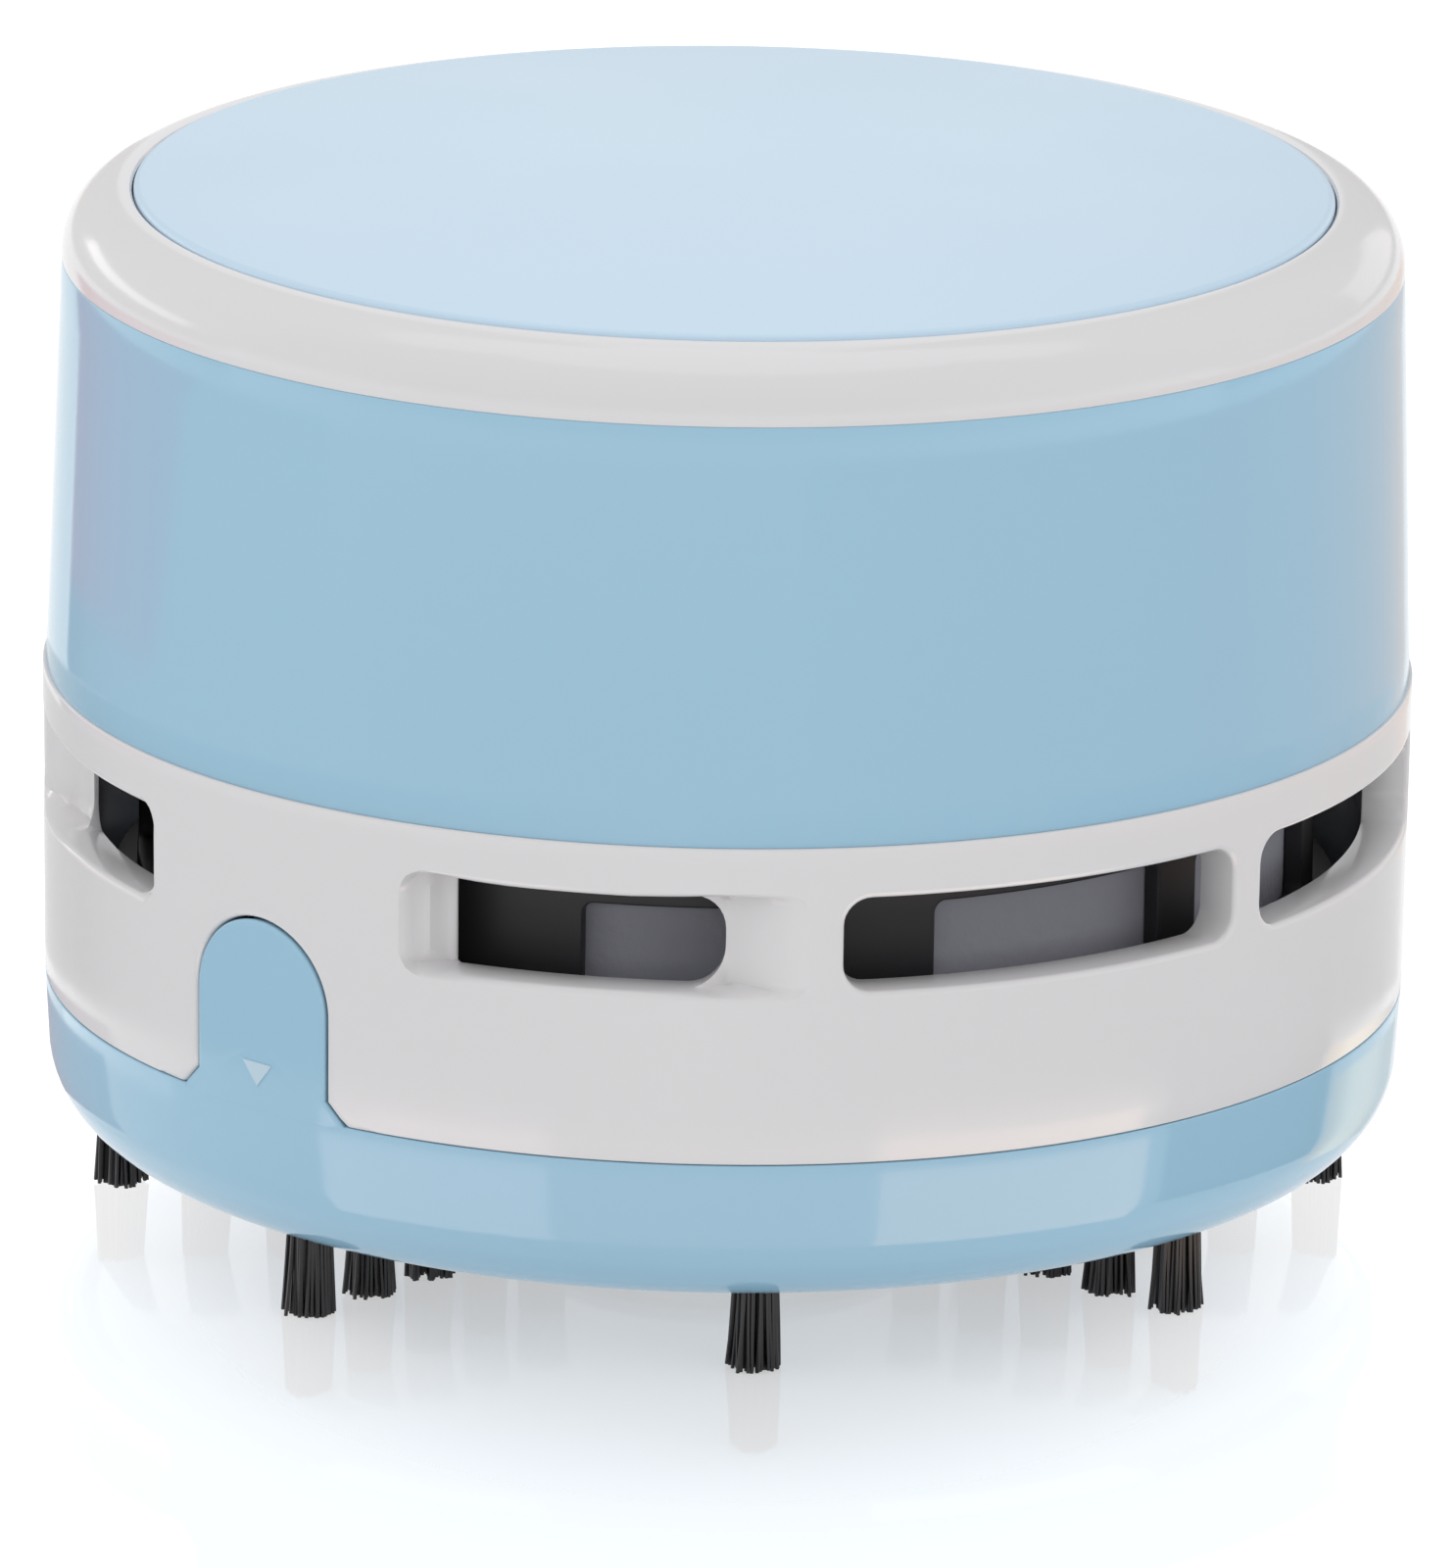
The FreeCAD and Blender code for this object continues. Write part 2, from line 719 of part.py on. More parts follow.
pilots = [cylinder(f"pilot_{i}", size.screw_shank_radius, size.boss_height, z=band_top, **at)
          for i, at in enumerate(boss_places)]
pocket = centred_block("switch_pocket", 2 * size.pocket_half_width, 2 * size.cut_overrun,
                       2 * size.pocket_half_height,
                       y=pocket_floor + size.cut_overrun,
                       z=switch_axis - size.pocket_half_height)
stem_slot_width = size.switch_travel + 2 * size.stem_half_width + 2 * size.side_gap
stem_slot_height = 2 * size.stem_half_height + 2 * size.side_gap
stem_slot = centred_block("stem_slot", stem_slot_width, 2 * size.shell_wall, stem_slot_height,
                          y=pocket_floor,
                          z=switch_axis - stem_slot_height / 2)
upper_shell = cut("upper_shell", shell_body, plate_rebate, *pilots, pocket, stem_slot)

# Top ring, the rounded white crown with the ledge that the battery lid lies on
lid_seat_radius = shell_top_radius - size.crown_width
lid_radius = lid_seat_radius - size.side_gap
lid_floor = overall_top - size.lid_thickness
ledge_top = lid_floor - size.seam_gap / 2
opening_radius = lid_seat_radius - size.ledge_width
skirt_radius = shell_top_radius - size.shell_wall
top_ring = turned("top_ring", [
    (opening_radius, ledge_top - size.ledge_thickness),
    (skirt_radius - size.ring_skirt_wall, ledge_top - size.ledge_thickness),
    (skirt_radius - size.ring_skirt_wall, shell_top - size.ring_skirt_depth),
    (skirt_radius, shell_top - size.ring_skirt_depth),
    (skirt_radius, shell_top),
    (shell_top_radius, shell_top),
    (lid_seat_radius, overall_top - size.lid_proud, shell_top + size.ring_crown_rise, 1),
    (lid_seat_radius, ledge_top),
    (opening_radius, ledge_top),
])

# Battery lid, a flush disc with a rim that finds the ring's opening
rim_radius = opening_radius - size.side_gap
battery_lid = turned("battery_lid", [
    (0, lid_floor),
    (rim_radius - size.lid_rim_wall, lid_floor),
    (rim_radius - size.lid_rim_wall, lid_floor - size.lid_rim_depth),
    (rim_radius, lid_floor - size.lid_rim_depth),
    (rim_radius, lid_floor),
    (lid_radius, lid_floor),
    (lid_radius, overall_top - size.lid_edge_radius),
    (lid_radius - size.lid_edge_radius, overall_top,
     overall_top - size.lid_edge_radius, 1),
    (0, overall_top),
])

# Motor plate, the disc between the band and the shell that carries the motor and the cradle
cradle_screw_offset = bay_half - size.cradle_screw_inset
cradle_screw_places = [{"y": cradle_screw_offset}, {"y": -cradle_screw_offset}]
plate_tools = [cylinder("plate_motor_hole", size.motor_boss_radius + size.side_gap / 2,
                        size.plate_thickness + 2 * size.cut_overrun, z=band_top - size.cut_overrun)]
for index, at in enumerate(boss_places + cradle_screw_places):
    plate_tools.append(cylinder(f"plate_hole_{index}", screw_hole_radius,
                                size.plate_thickness + 2 * size.cut_overrun,
                                z=band_top - size.cut_overrun, **at))
motor_plate = cut("motor_plate", cylinder("plate_disc", plate_radius, size.plate_thickness,
                                          z=band_top), *plate_tools)

# Battery cradle, with a trough for each cell and a socket for the motor between them
cradle_half_width = cell_reach + size.cradle_side_wall
cradle_height = cell_axis - plate_top
cradle_length = bay_length + 2 * size.cradle_end_wall
end_wall_height = cradle_height + size.cradle_end_rise
end_wall_width = 2 * (cradle_half_width - cell_offset)
cradle_walls = []
for x_name, x_side in (("left", -1), ("right", 1)):
    for y_name, y_side in (("front", -1), ("rear", 1)):
        cradle_walls.append(centred_block(
            f"cradle_wall_{y_name}_{x_name}", end_wall_width, size.cradle_end_wall, end_wall_height,
            x=x_side * cell_offset, y=y_side * (bay_half + size.cradle_end_wall / 2), z=plate_top))
cradle_block = centred_block("cradle_block", 2 * cradle_half_width, cradle_length,
                             cradle_height, z=plate_top)
cradle_body = common("cradle_body", fused("cradle_walls", cradle_block, *cradle_walls),
                     cylinder("cradle_limit", plate_radius + size.plate_gap - size.cradle_shell_gap,
                              shell_height, z=plate_top))
trough_radius = size.cell_radius + size.cell_gap
troughs = [cylinder(f"trough_{name}", trough_radius, bay_length, x=x, y=bay_half,
                    z=cell_axis, turn=as_size(90), axis=(1, 0, 0))
           for name, x in (("left", -cell_offset), ("right", cell_offset))]
socket = centred_block("motor_socket", 2 * (half_flat_width + size.side_gap),
                       2 * (size.motor_radius + size.side_gap), cradle_height + size.cut_overrun,
                       z=plate_top - size.cut_overrun / 2)
window_middle = size.motor_radius + size.cradle_end_wall + size.cradle_window_length / 2
windows = [centred_block(f"cradle_window_{name}", 2 * size.cradle_window_half_width,
                         size.cradle_window_length, cradle_height + size.cut_overrun,
                         y=side * window_middle, z=plate_top - size.cut_overrun / 2)
           for name, side in (("front", -1), ("rear", 1))]
cradle_pilots = [cylinder(f"cradle_pilot_{i}", size.screw_shank_radius, size.screw_length,
                          z=band_top, **at) for i, at in enumerate(cradle_screw_places)]
battery_cradle = cut("battery_cradle", cradle_body, *troughs, socket, *windows, *cradle_pilots)


# Battery cells, two AA size, laid head to tail
def battery_cell(label, x, side):
    """A cell along Y with its nub towards side, 1 for the rear."""
    nub_end = bay_half - size.contact_thickness
    shoulder = nub_end - size.cell_nub_length
    body = cylinder(label + "_body", size.cell_radius, size.cell_body_length, x=x,
                    y=side * shoulder, z=cell_axis, turn=as_size(90 * side), axis=(1, 0, 0))
    nub = cylinder(label + "_nub", size.cell_nub_radius, 2 * size.cell_nub_length, x=x,
                   y=side * nub_end, z=cell_axis, turn=as_size(90 * side), axis=(1, 0, 0))
    return fused(label, body, nub)


battery_cell_left = battery_cell("battery_cell_left", -cell_offset, -1)
battery_cell_right = battery_cell("battery_cell_right", cell_offset, 1)

# Contacts, plated spring-steel leaves against the cradle's end walls
contact_middle = bay_half - size.contact_thickness / 2
contact_floor = cell_axis - size.contact_height / 2
tail_floor = cell_axis + size.contact_height / 2 - size.contact_tail_height


def contact_leaf(label, x, y):
    return centred_block(label, size.contact_width, size.contact_thickness, size.contact_height,
                         x=x, y=y, z=contact_floor)


bridge_strip = centred_block("bridge_strip", 2 * cell_offset, size.contact_thickness,
                             size.contact_tail_height, y=contact_middle, z=tail_floor)
contact_bridge = fused("contact_bridge", bridge_strip,
                       contact_leaf("bridge_leaf_left", -cell_offset, contact_middle),
                       contact_leaf("bridge_leaf_right", cell_offset, contact_middle))
leaf_half = size.contact_width / 2
tail_middle = cell_offset - leaf_half - size.contact_tail / 2 + size.contact_thickness
tail_length = size.contact_tail + 2 * size.contact_thickness
contact_positive = fused("contact_positive",
                         contact_leaf("positive_leaf", -cell_offset, -contact_middle),
                         centred_block("positive_tail", tail_length, size.contact_thickness,
                                       size.contact_tail_height, x=-tail_middle, y=-contact_middle,
                                       z=tail_floor))
contact_negative = fused("contact_negative",
                         contact_leaf("negative_leaf", cell_offset, -contact_middle),
                         centred_block("negative_tail", tail_length, size.contact_thickness,
                                       size.contact_tail_height, x=tail_middle, y=-contact_middle,
                                       z=tail_floor))


def contact_spring(label, x, side):
    """A hollow cone in the envelope of a cell spring, wide at the leaf on that side."""
    start = side * (bay_half - size.contact_thickness)
    outer = cone(label + "_envelope", size.spring_wide_radius, size.spring_narrow_radius,
                 size.spring_length, x=x, y=start, z=cell_axis,
                 turn=as_size(90 * side), axis=(1, 0, 0))
    inner = cone(label + "_hollow", size.spring_wide_radius - size.spring_wire,
                 size.spring_narrow_radius - size.spring_wire, size.spring_length, x=x, y=start,
                 z=cell_axis, turn=as_size(90 * side), axis=(1, 0, 0))
    return cut(label, outer, inner)


contact_springs = group("contact_springs", contact_spring("spring_left", -cell_offset, 1),
                        contact_spring("spring_right", cell_offset, -1))

# Motor, a flat-sided can of the common 20 by 15 mm kind, its shaft pointing down
ARMATURE_POLES = 3


def flat_sided(label, radius, half_flat, floor, height):
    """A cylinder with two flats facing -X and +X."""
    drum = cylinder(label + "_drum", radius, height, z=floor)
    slab = centred_block(label + "_slab", 2 * half_flat, 2 * radius, height, z=floor)
    return common(label + "_section", drum, slab)


can_hollow = flat_sided("can_hollow", size.motor_radius - size.motor_can_wall,
                        half_flat_width - size.motor_can_wall,
                        plate_top + size.motor_can_wall, size.motor_can_height)
motor_can = cut("motor_can",
                fused("can_body", flat_sided("can", size.motor_radius, half_flat_width,
                                             plate_top, size.motor_can_height),
                      cylinder("can_boss", size.motor_boss_radius,
                               size.plate_thickness + size.motor_can_wall, z=band_top)),
                can_hollow,
                cylinder("bush_hole", size.motor_bush_radius, size.motor_can_height, z=band_top))
bush_top = plate_top + size.motor_can_wall
motor_bush = tube("motor_bush", size.shaft_radius + size.running_gap, size.motor_bush_radius,
                  band_top, bush_top)
cap_well_height = size.motor_cap_height - size.motor_cap_roof
motor_end_cap = cut("motor_end_cap",
                    flat_sided("cap", size.motor_radius, half_flat_width, can_top,
                               size.motor_cap_height),
                    cylinder("cap_well", size.motor_cap_well_radius, cap_well_height, z=can_top),
                    cylinder("cap_bore", size.shaft_radius + size.running_gap,
                             size.motor_cap_height, z=can_top))
magnet_radius = size.motor_radius - size.motor_can_wall
magnet_floor = plate_top + size.magnet_foot
magnets = []
for name, facing in (("front", 0), ("rear", 180)):
    arc = slot_sector(f"magnet_{name}", magnet_radius - size.magnet_thickness, magnet_radius,
                      magnet_floor, size.magnet_height, facing - size.magnet_sweep / 2,
                      size.magnet_sweep)
    magnets.append(common(f"magnet_{name}_trimmed", arc, can_hollow))
motor_magnets = group("motor_magnets", *magnets)

armature_floor = plate_top + size.armature_foot
armature_radius = magnet_radius - size.magnet_thickness - size.armature_gap
armature_blank = cylinder("armature_blank", armature_radius, size.armature_height,
                          z=armature_floor)
shaft_bore = cylinder("armature_bore", size.shaft_radius, size.motor_can_height, z=plate_top)
pole_slots = []
slot_start = armature_radius - size.armature_slot_depth
for pole in range(ARMATURE_POLES):
    lean = as_size(pole * 360 / ARMATURE_POLES)
    pole_slots.append(block(f"pole_slot_{pole}", size.armature_slot_depth + size.cut_overrun,
                            size.armature_slot, size.armature_height,
                            x=slot_start * cosine(lean) + size.armature_slot / 2 * sine(lean),
                            y=slot_start * sine(lean) - size.armature_slot / 2 * cosine(lean),
                            z=armature_floor, turn=lean))
armature_core = cut("armature_core", armature_blank, *pole_slots, shaft_bore)
winding_blank = cylinder("winding_blank", armature_radius - size.winding_inset,
                         size.armature_height + 2 * size.winding_overhang,
                         z=armature_floor - size.winding_overhang)
armature_windings = cut("armature_windings", winding_blank, armature_core, shaft_bore)
commutator_floor = armature_floor + size.armature_height + size.winding_overhang
commutator = tube("commutator", size.shaft_radius, size.commutator_radius, commutator_floor,
                  commutator_floor + size.commutator_height)
brush_offset = size.commutator_radius + size.brush_gap + size.brush_thickness / 2
brush_leaves = []
for name, side in (("left", -1), ("right", 1)):
    leaf = centred_block(f"brush_leaf_{name}", size.brush_thickness, size.brush_width,
                         cap_well_height, x=side * brush_offset, z=can_top)
    brush_leaves.append(leaf)
motor_brushes = group("motor_brushes", *brush_leaves)
motor_terminals = group("motor_terminals", *[
    centred_block(f"terminal_{name}", size.terminal_width, size.terminal_thickness,
                  size.terminal_height, y=side * size.terminal_offset, z=cap_top)
    for name, side in (("front", -1), ("rear", 1))])

# Fan, the shaft and the impeller that hangs under the motor plate
FAN_BLADES = 10
impeller_radius = deck_bore_radius - size.impeller_side_gap
impeller_top = band_top - size.impeller_plate_gap
impeller_foot = impeller_top - size.impeller_height
shaft_foot = impeller_foot + size.shaft_foot_inset
motor_shaft = cylinder("motor_shaft", size.shaft_radius,
                       cap_top - size.shaft_top_drop - shaft_foot, z=shaft_foot)
blade_span = impeller_radius - size.blade_inner_radius + size.cut_overrun
impeller_pieces = [
    cylinder("impeller_hub", size.impeller_hub_radius, size.impeller_height,
             z=impeller_foot),
    cylinder("impeller_back", impeller_radius, size.impeller_back,
             z=impeller_top - size.impeller_back)]
for blade in range(FAN_BLADES):
    bearing = as_size(blade * 360 / FAN_BLADES)
    impeller_pieces.append(block(f"blade_{blade}", blade_span, size.blade_thickness,
                                 size.impeller_height, x=size.blade_inner_radius * cosine(bearing),
                                 y=size.blade_inner_radius * sine(bearing),
                                 z=impeller_foot, turn=bearing + size.blade_lean))
impeller_disc = common("impeller_disc", fused("impeller_blades", *impeller_pieces),
                       cylinder("impeller_limit", impeller_radius, size.impeller_height,
                                z=impeller_foot))
impeller = cut("impeller", impeller_disc,
               cylinder("impeller_bore", size.shaft_radius, size.impeller_height,
                        z=impeller_foot))

# Filter cage, a windowed ring on the spigot, its flange notched to clear the latch arms
cage_bore = cage_radius - size.cage_wall
cage_flange_radius = spigot_radius - size.cage_flange_inset
cage_top = band_top - size.cage_top_drop
cage_roof_bore_radius = cage_bore - size.cage_roof_width
flange_floor = spigot_top + size.seam_gap / 2
window_floor = flange_floor + size.cage_flange_thickness + size.cage_sill
window_height = cage_top - size.cage_roof - size.cage_lintel - window_floor
skirt_fit_radius = chamber_radius - 2 * size.side_gap
cage_foot = spigot_top - size.cage_skirt_depth
cage_blank = turned("filter_cage_blank", [
    (cage_bore, cage_foot),
    (skirt_fit_radius, cage_foot),
    (skirt_fit_radius, flange_floor),
    (cage_flange_radius, flange_floor),
    (cage_flange_radius, flange_floor + size.cage_flange_thickness),
    (cage_radius, flange_floor + size.cage_flange_thickness),
    (cage_radius, cage_top),
    (cage_roof_bore_radius, cage_top),
    (cage_roof_bore_radius, cage_top - size.cage_roof),
    (cage_bore, cage_top - size.cage_roof),
])
WINDOWS = {"a": (size.window_a_bearing, size.window_a_sweep),
           "b": (size.window_b_bearing, size.window_b_sweep),
           "c": (size.window_c_bearing, size.window_c_sweep),
           "d": (size.window_d_bearing, size.window_d_sweep)}
window_tools = []
for half, half_turn in (("right", 0), ("left", 180)):
    for name, (bearing, sweep) in WINDOWS.items():
        window_tools.append(slot_sector(f"window_{name}_{half}", cage_bore - size.cloth_thickness,
                                        cage_flange_radius, window_floor,
                                        window_height, bearing + half_turn, sweep))
for name, side in (("front", -1), ("rear", 1)):
    window_tools.append(centred_block(
        f"flange_notch_{name}", arm_width + 4 * size.side_gap, 2 * size.cage_wall,
        size.cage_flange_thickness + size.side_gap,
        y=side * (cage_radius + size.side_gap + size.cage_wall), z=flange_floor - size.side_gap / 2))
filter_cage = cut("filter_cage", cage_blank, *window_tools)
filter_cloth = tube("filter_cloth", cage_bore - size.cloth_thickness, cage_bore, cage_foot,
                    cage_top - size.cage_roof)

# Slide switch at the rear, its knob in the shell's pocket and its case between two rails
knob_floor_radius = pocket_floor + size.side_gap
knob_top_radius = pocket_floor + size.knob_height
switch_face = pocket_floor - size.switch_face_gap
rest_shift = -size.switch_travel / 2
knob_block = centred_block("knob_block", 2 * size.knob_half_width,
                           knob_top_radius - knob_floor_radius, 2 * size.knob_half_height,
                           x=rest_shift, y=(knob_top_radius + knob_floor_radius) / 2,
                           z=switch_axis - size.knob_half_height)
slider_face = switch_face + size.side_gap
stem_length = knob_floor_radius - slider_face
knob_stem = centred_block("knob_stem", 2 * size.stem_half_width, stem_length,
                          2 * size.stem_half_height, x=rest_shift, y=slider_face + stem_length / 2,
                          z=switch_axis - size.stem_half_height)
knob_grooves = [centred_block(f"knob_groove_{i}", size.knob_rib, 2 * size.knob_rib,
                              2 * size.knob_half_height, x=rest_shift + 2 * i * size.knob_rib,
                              y=knob_top_radius,
                              z=switch_axis - size.knob_half_height)
                for i in (-2, -1, 0, 1, 2)]
switch_knob = cut("switch_knob", fused("knob_body", knob_block, knob_stem), *knob_grooves)
case_middle = switch_face - size.switch_case_depth / 2
case_block = centred_block("case_block", 2 * size.switch_case_half_width, size.switch_case_depth,
                           2 * size.switch_case_half_height, y=case_middle,
                           z=switch_axis - size.switch_case_half_height)
cavity_half_width = size.slider_half_width + size.switch_travel / 2 + size.side_gap
cavity_height = 2 * (size.stem_half_height + size.side_gap)
case_cavity = centred_block("case_cavity", 2 * cavity_half_width,
                            2 * (size.slider_depth + size.side_gap), cavity_height,
                            y=switch_face, z=switch_axis - cavity_height / 2)
switch_case = cut("switch_case", case_block, case_cavity)
slider_length = slider_face - switch_face + size.slider_depth
switch_slider = centred_block("switch_slider", 2 * size.slider_half_width, slider_length,
                              2 * size.stem_half_height, x=rest_shift,
                              y=slider_face - slider_length / 2,
                              z=switch_axis - size.stem_half_height)
case_back = switch_face - size.switch_case_depth
switch_terminals = group("switch_terminals", *[
    centred_block(f"switch_terminal_{name}", size.terminal_width, size.terminal_height,
                  size.terminal_thickness, x=side * size.slider_half_width * 2,
                  y=case_back - size.terminal_height / 2, z=switch_axis)
    for name, side in (("left", -1), ("right", 1))])


# Screws from below: four into the shell's bosses, two into the cradle
def screw(label, head_top, x=0, y=0):
    """A pan head under head_top with its shank above it and a cross recess below."""
    head_floor = head_top - size.screw_head_height
    head = cylinder(label + "_head", size.screw_head_radius, size.screw_head_height,
                    x=x, y=y, z=head_floor)
    shank = cylinder(label + "_shank", size.screw_shank_radius, size.screw_length,
                     x=x, y=y, z=head_floor)
    bars = [centred_block(f"{label}_bar_{i}", length, width, size.screw_recess_depth,
                          x=x, y=y, z=head_floor)
            for i, (length, width) in enumerate((
                (size.screw_recess_length, size.screw_recess_width),
                (size.screw_recess_width, size.screw_recess_length)))]
    return cut(label, fused(label + "_body", head, shank), *bars)


chassis_screws = group(
    "chassis_screws",
    *[screw(f"boss_screw_{i}", deck_floor, **at) for i, at in enumerate(boss_places)],
    *[screw(f"cradle_screw_{i}", band_top, **at) for i, at in enumerate(cradle_screw_places)])


# Wires, round leads of straight runs joined by arcs
def wire(label, corners):
    """A round lead along corners, each turn an arc tangent to its two runs."""
    points = [FreeCAD.Vector(*[as_size(c).value for c in corner]) for corner in corners]
    bend = size.wire_bend.value
    edges = []
    here = points[0]
    for before, corner, after in zip(points, points[1:], points[2:]):
        inward = (before - corner).normalize()
        outward = (after - corner).normalize()
        half = inward.getAngle(outward) / 2
        setback = bend / math.tan(half)
        start = corner + inward * setback
        end = corner + outward * setback
        middle_way = (inward + outward).normalize()
        middle = corner + middle_way * (bend / math.sin(half) - bend)
        edges.append(Part.LineSegment(here, start).toShape())
        edges.append(Part.Arc(start, middle, end).toShape())
        here = end
    edges.append(Part.LineSegment(here, points[-1]).toShape())
    path = Part.Wire(edges)
    direction = points[1] - points[0]
    section = Part.Wire([Part.Circle(points[0], direction, size.wire_radius.value).toShape()])
    lead = add("Part::Feature", label)
    lead.Shape = path.makePipeShell([section], True, False)
    return lead


tail_end = cell_offset - leaf_half - size.contact_tail
tail_height = tail_floor + size.contact_tail_height / 2
lead_height = cap_top + size.terminal_height / 2
beside_motor = (half_flat_width + cell_offset - size.cell_radius) / 2
low_run = cell_axis + 2 * size.wire_radius
terminal_face = size.terminal_offset + size.terminal_thickness / 2
tail_face = contact_middle - size.contact_thickness / 2
switch_wire_end = case_back - size.terminal_height
wire_positive = wire("wire_positive", [
    (-tail_end - size.wire_radius, -tail_face, tail_height),
    (-tail_end - size.wire_radius, -tail_face + 3 * size.wire_bend, tail_height),
    (0, -size.motor_radius - 3 * size.wire_bend, lead_height - 3 * size.wire_bend),
    (0, -size.motor_radius - 2 * size.wire_radius, lead_height),
    (0, -terminal_face, lead_height),
])
wire_negative = wire("wire_negative", [
    (tail_end + size.wire_radius, -tail_face, tail_height),
    (tail_end + size.wire_radius, -tail_face + 3 * size.wire_bend, tail_height),
    (beside_motor, -size.motor_radius - size.wire_bend, low_run),
    (beside_motor, size.motor_radius + 2 * size.wire_bend, low_run),
    (2 * size.slider_half_width, switch_wire_end - 3 * size.wire_bend,
     switch_axis),
    (2 * size.slider_half_width, switch_wire_end, switch_axis),
])
wire_switched = wire("wire_switched", [
    (-2 * size.slider_half_width, switch_wire_end, switch_axis),
    (-2 * size.slider_half_width, switch_wire_end - 3 * size.wire_bend, switch_axis),
    (0, size.motor_radius + 3 * size.wire_bend, lead_height - 3 * size.wire_bend),
    (0, size.motor_radius + 2 * size.wire_radius, lead_height),
    (0, terminal_face, lead_height),
])

subparts = [
    dust_tray, suction_nozzle, tray_seal, *tuft_rows, push_tab_front, push_tab_rear,
    filter_cage, filter_cloth, vent_band, upper_shell, top_ring, battery_lid, motor_plate,
    battery_cradle, battery_cell_left, battery_cell_right, contact_bridge, contact_positive,
    contact_negative, contact_springs, motor_can, motor_end_cap, motor_bush, motor_magnets,
    motor_brushes, motor_terminals, motor_shaft, armature_core, armature_windings, commutator,
    impeller, switch_knob, switch_slider, switch_case, switch_terminals, chassis_screws,
    wire_positive, wire_negative, wire_switched,
]

document.recompute()
for item in document.Objects:
    failed = [state for state in item.State if state in ("Invalid", "Error")]
    if failed:
        raise RuntimeError(f"{item.Label} could not be built: {failed}")
for item in subparts:
    if item.Shape.isNull() or not item.Shape.isValid() or not item.Shape.Solids:
        raise RuntimeError(f"{item.Label} has no valid solid")

os.makedirs("parts", exist_ok=True)
for item in subparts:
    item.Shape.exportStep(f"parts/{item.Label}.step")
    print(item.Label, len(item.Shape.Solids), round(item.Shape.Volume, 1))
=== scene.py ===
import math

import bmesh
import bpy
import numpy as np
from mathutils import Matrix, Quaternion, Vector


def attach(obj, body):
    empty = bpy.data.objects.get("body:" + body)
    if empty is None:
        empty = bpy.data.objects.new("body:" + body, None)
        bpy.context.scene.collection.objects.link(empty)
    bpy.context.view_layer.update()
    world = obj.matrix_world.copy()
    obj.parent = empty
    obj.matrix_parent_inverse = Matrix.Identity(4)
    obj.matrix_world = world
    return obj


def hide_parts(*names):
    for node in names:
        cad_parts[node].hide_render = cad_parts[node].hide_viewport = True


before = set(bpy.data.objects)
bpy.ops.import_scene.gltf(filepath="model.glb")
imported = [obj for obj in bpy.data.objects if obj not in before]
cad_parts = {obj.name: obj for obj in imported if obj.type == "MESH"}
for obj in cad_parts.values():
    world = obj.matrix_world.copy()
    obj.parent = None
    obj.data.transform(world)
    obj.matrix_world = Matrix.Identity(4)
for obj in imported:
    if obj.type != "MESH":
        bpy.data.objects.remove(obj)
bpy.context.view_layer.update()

# A round battery desk vacuum cleaner: a blue foot on brush tufts, a white band of air slots,
# a tapered blue shell and a white crown round a pale battery lid. Sizes are in millimetres, and
# each mesh is scaled to metres when it is made. Z is up, the front tab faces -Y, and a bearing
# is an angle in degrees from that tab, anticlockwise seen from above.


# Dust tray. A moulded cup of light blue gloss ABS: the rounded foot outside, and a thin spigot
# inside that rises into the band. Rubber seals the spigot, and the tufts stand in its underside.
def on_rings(bearings, radii, heights):
    """Points at a radius r, a height z and a bearing b: x = r sin b, y = -r cos b."""
    turn = np.radians(bearings)
    turn, radii, heights = np.broadcast_arrays(turn, radii, heights)
    return np.stack([radii * np.sin(turn), -radii * np.cos(turn), heights], axis=-1)


def unit(turn):
    """Flat unit vectors at those angles in radians."""
    return np.stack([np.cos(turn), np.sin(turn)], -1)


def eased(corners, steps=5):
    """A closed outline of (across, height, rounding) corners. Each rounded corner becomes an arc
    that touches both its sides, given as the turn from one end's radius to the other's."""
    places = np.array([corner[:2] for corner in corners], float)
    line = []
    for i, corner in enumerate(corners):
        here = places[i]
        rounding = corner[2] if len(corner) > 2 else 0
        if not rounding:
            line.append(here[None])
            continue
        back = places[i - 1] - here
        on = places[(i + 1) % len(places)] - here
        back /= np.linalg.norm(back)
        on /= np.linalg.norm(on)
        half = math.acos(np.clip(back @ on, -1, 1)) / 2
        middle = here + (back + on) / np.linalg.norm(back + on) * rounding / math.sin(half)
        first = here + back * rounding / math.tan(half) - middle
        last = here + on * rounding / math.tan(half) - middle
        sweep = math.pi - 2 * half
        share = np.linspace(0, 1, steps + 1)[:, None]
        arc = (np.sin((1 - share) * sweep) * first + np.sin(share * sweep) * last) / math.sin(sweep)
        line.append(middle + arc)
    return np.concatenate(line)


def placed(name, data):
    """A new object of that mesh, lamp or camera, at the origin."""
    thing = bpy.data.objects.new(name, data)
    bpy.context.collection.objects.link(thing)
    return thing


def grid_mesh(name, grids):
    """A mesh in metres from grids of points in millimetres (rows, columns, xyz)."""
    points, faces, first = [], [], 0
    for grid in grids:
        grid = np.asarray(grid, float)
        count = grid.shape[0] * grid.shape[1]
        index = first + np.arange(count).reshape(grid.shape[:2])
        corners = [index[:-1, :-1], index[:-1, 1:], index[1:, 1:], index[1:, :-1]]
        faces += np.stack(corners, -1).reshape(-1, 4).tolist()
        points.append(grid.reshape(-1, 3) / 1000)
        first += count
    mesh = bpy.data.meshes.new(name)
    mesh.from_pydata(np.concatenate(points), [], faces)
    return mesh


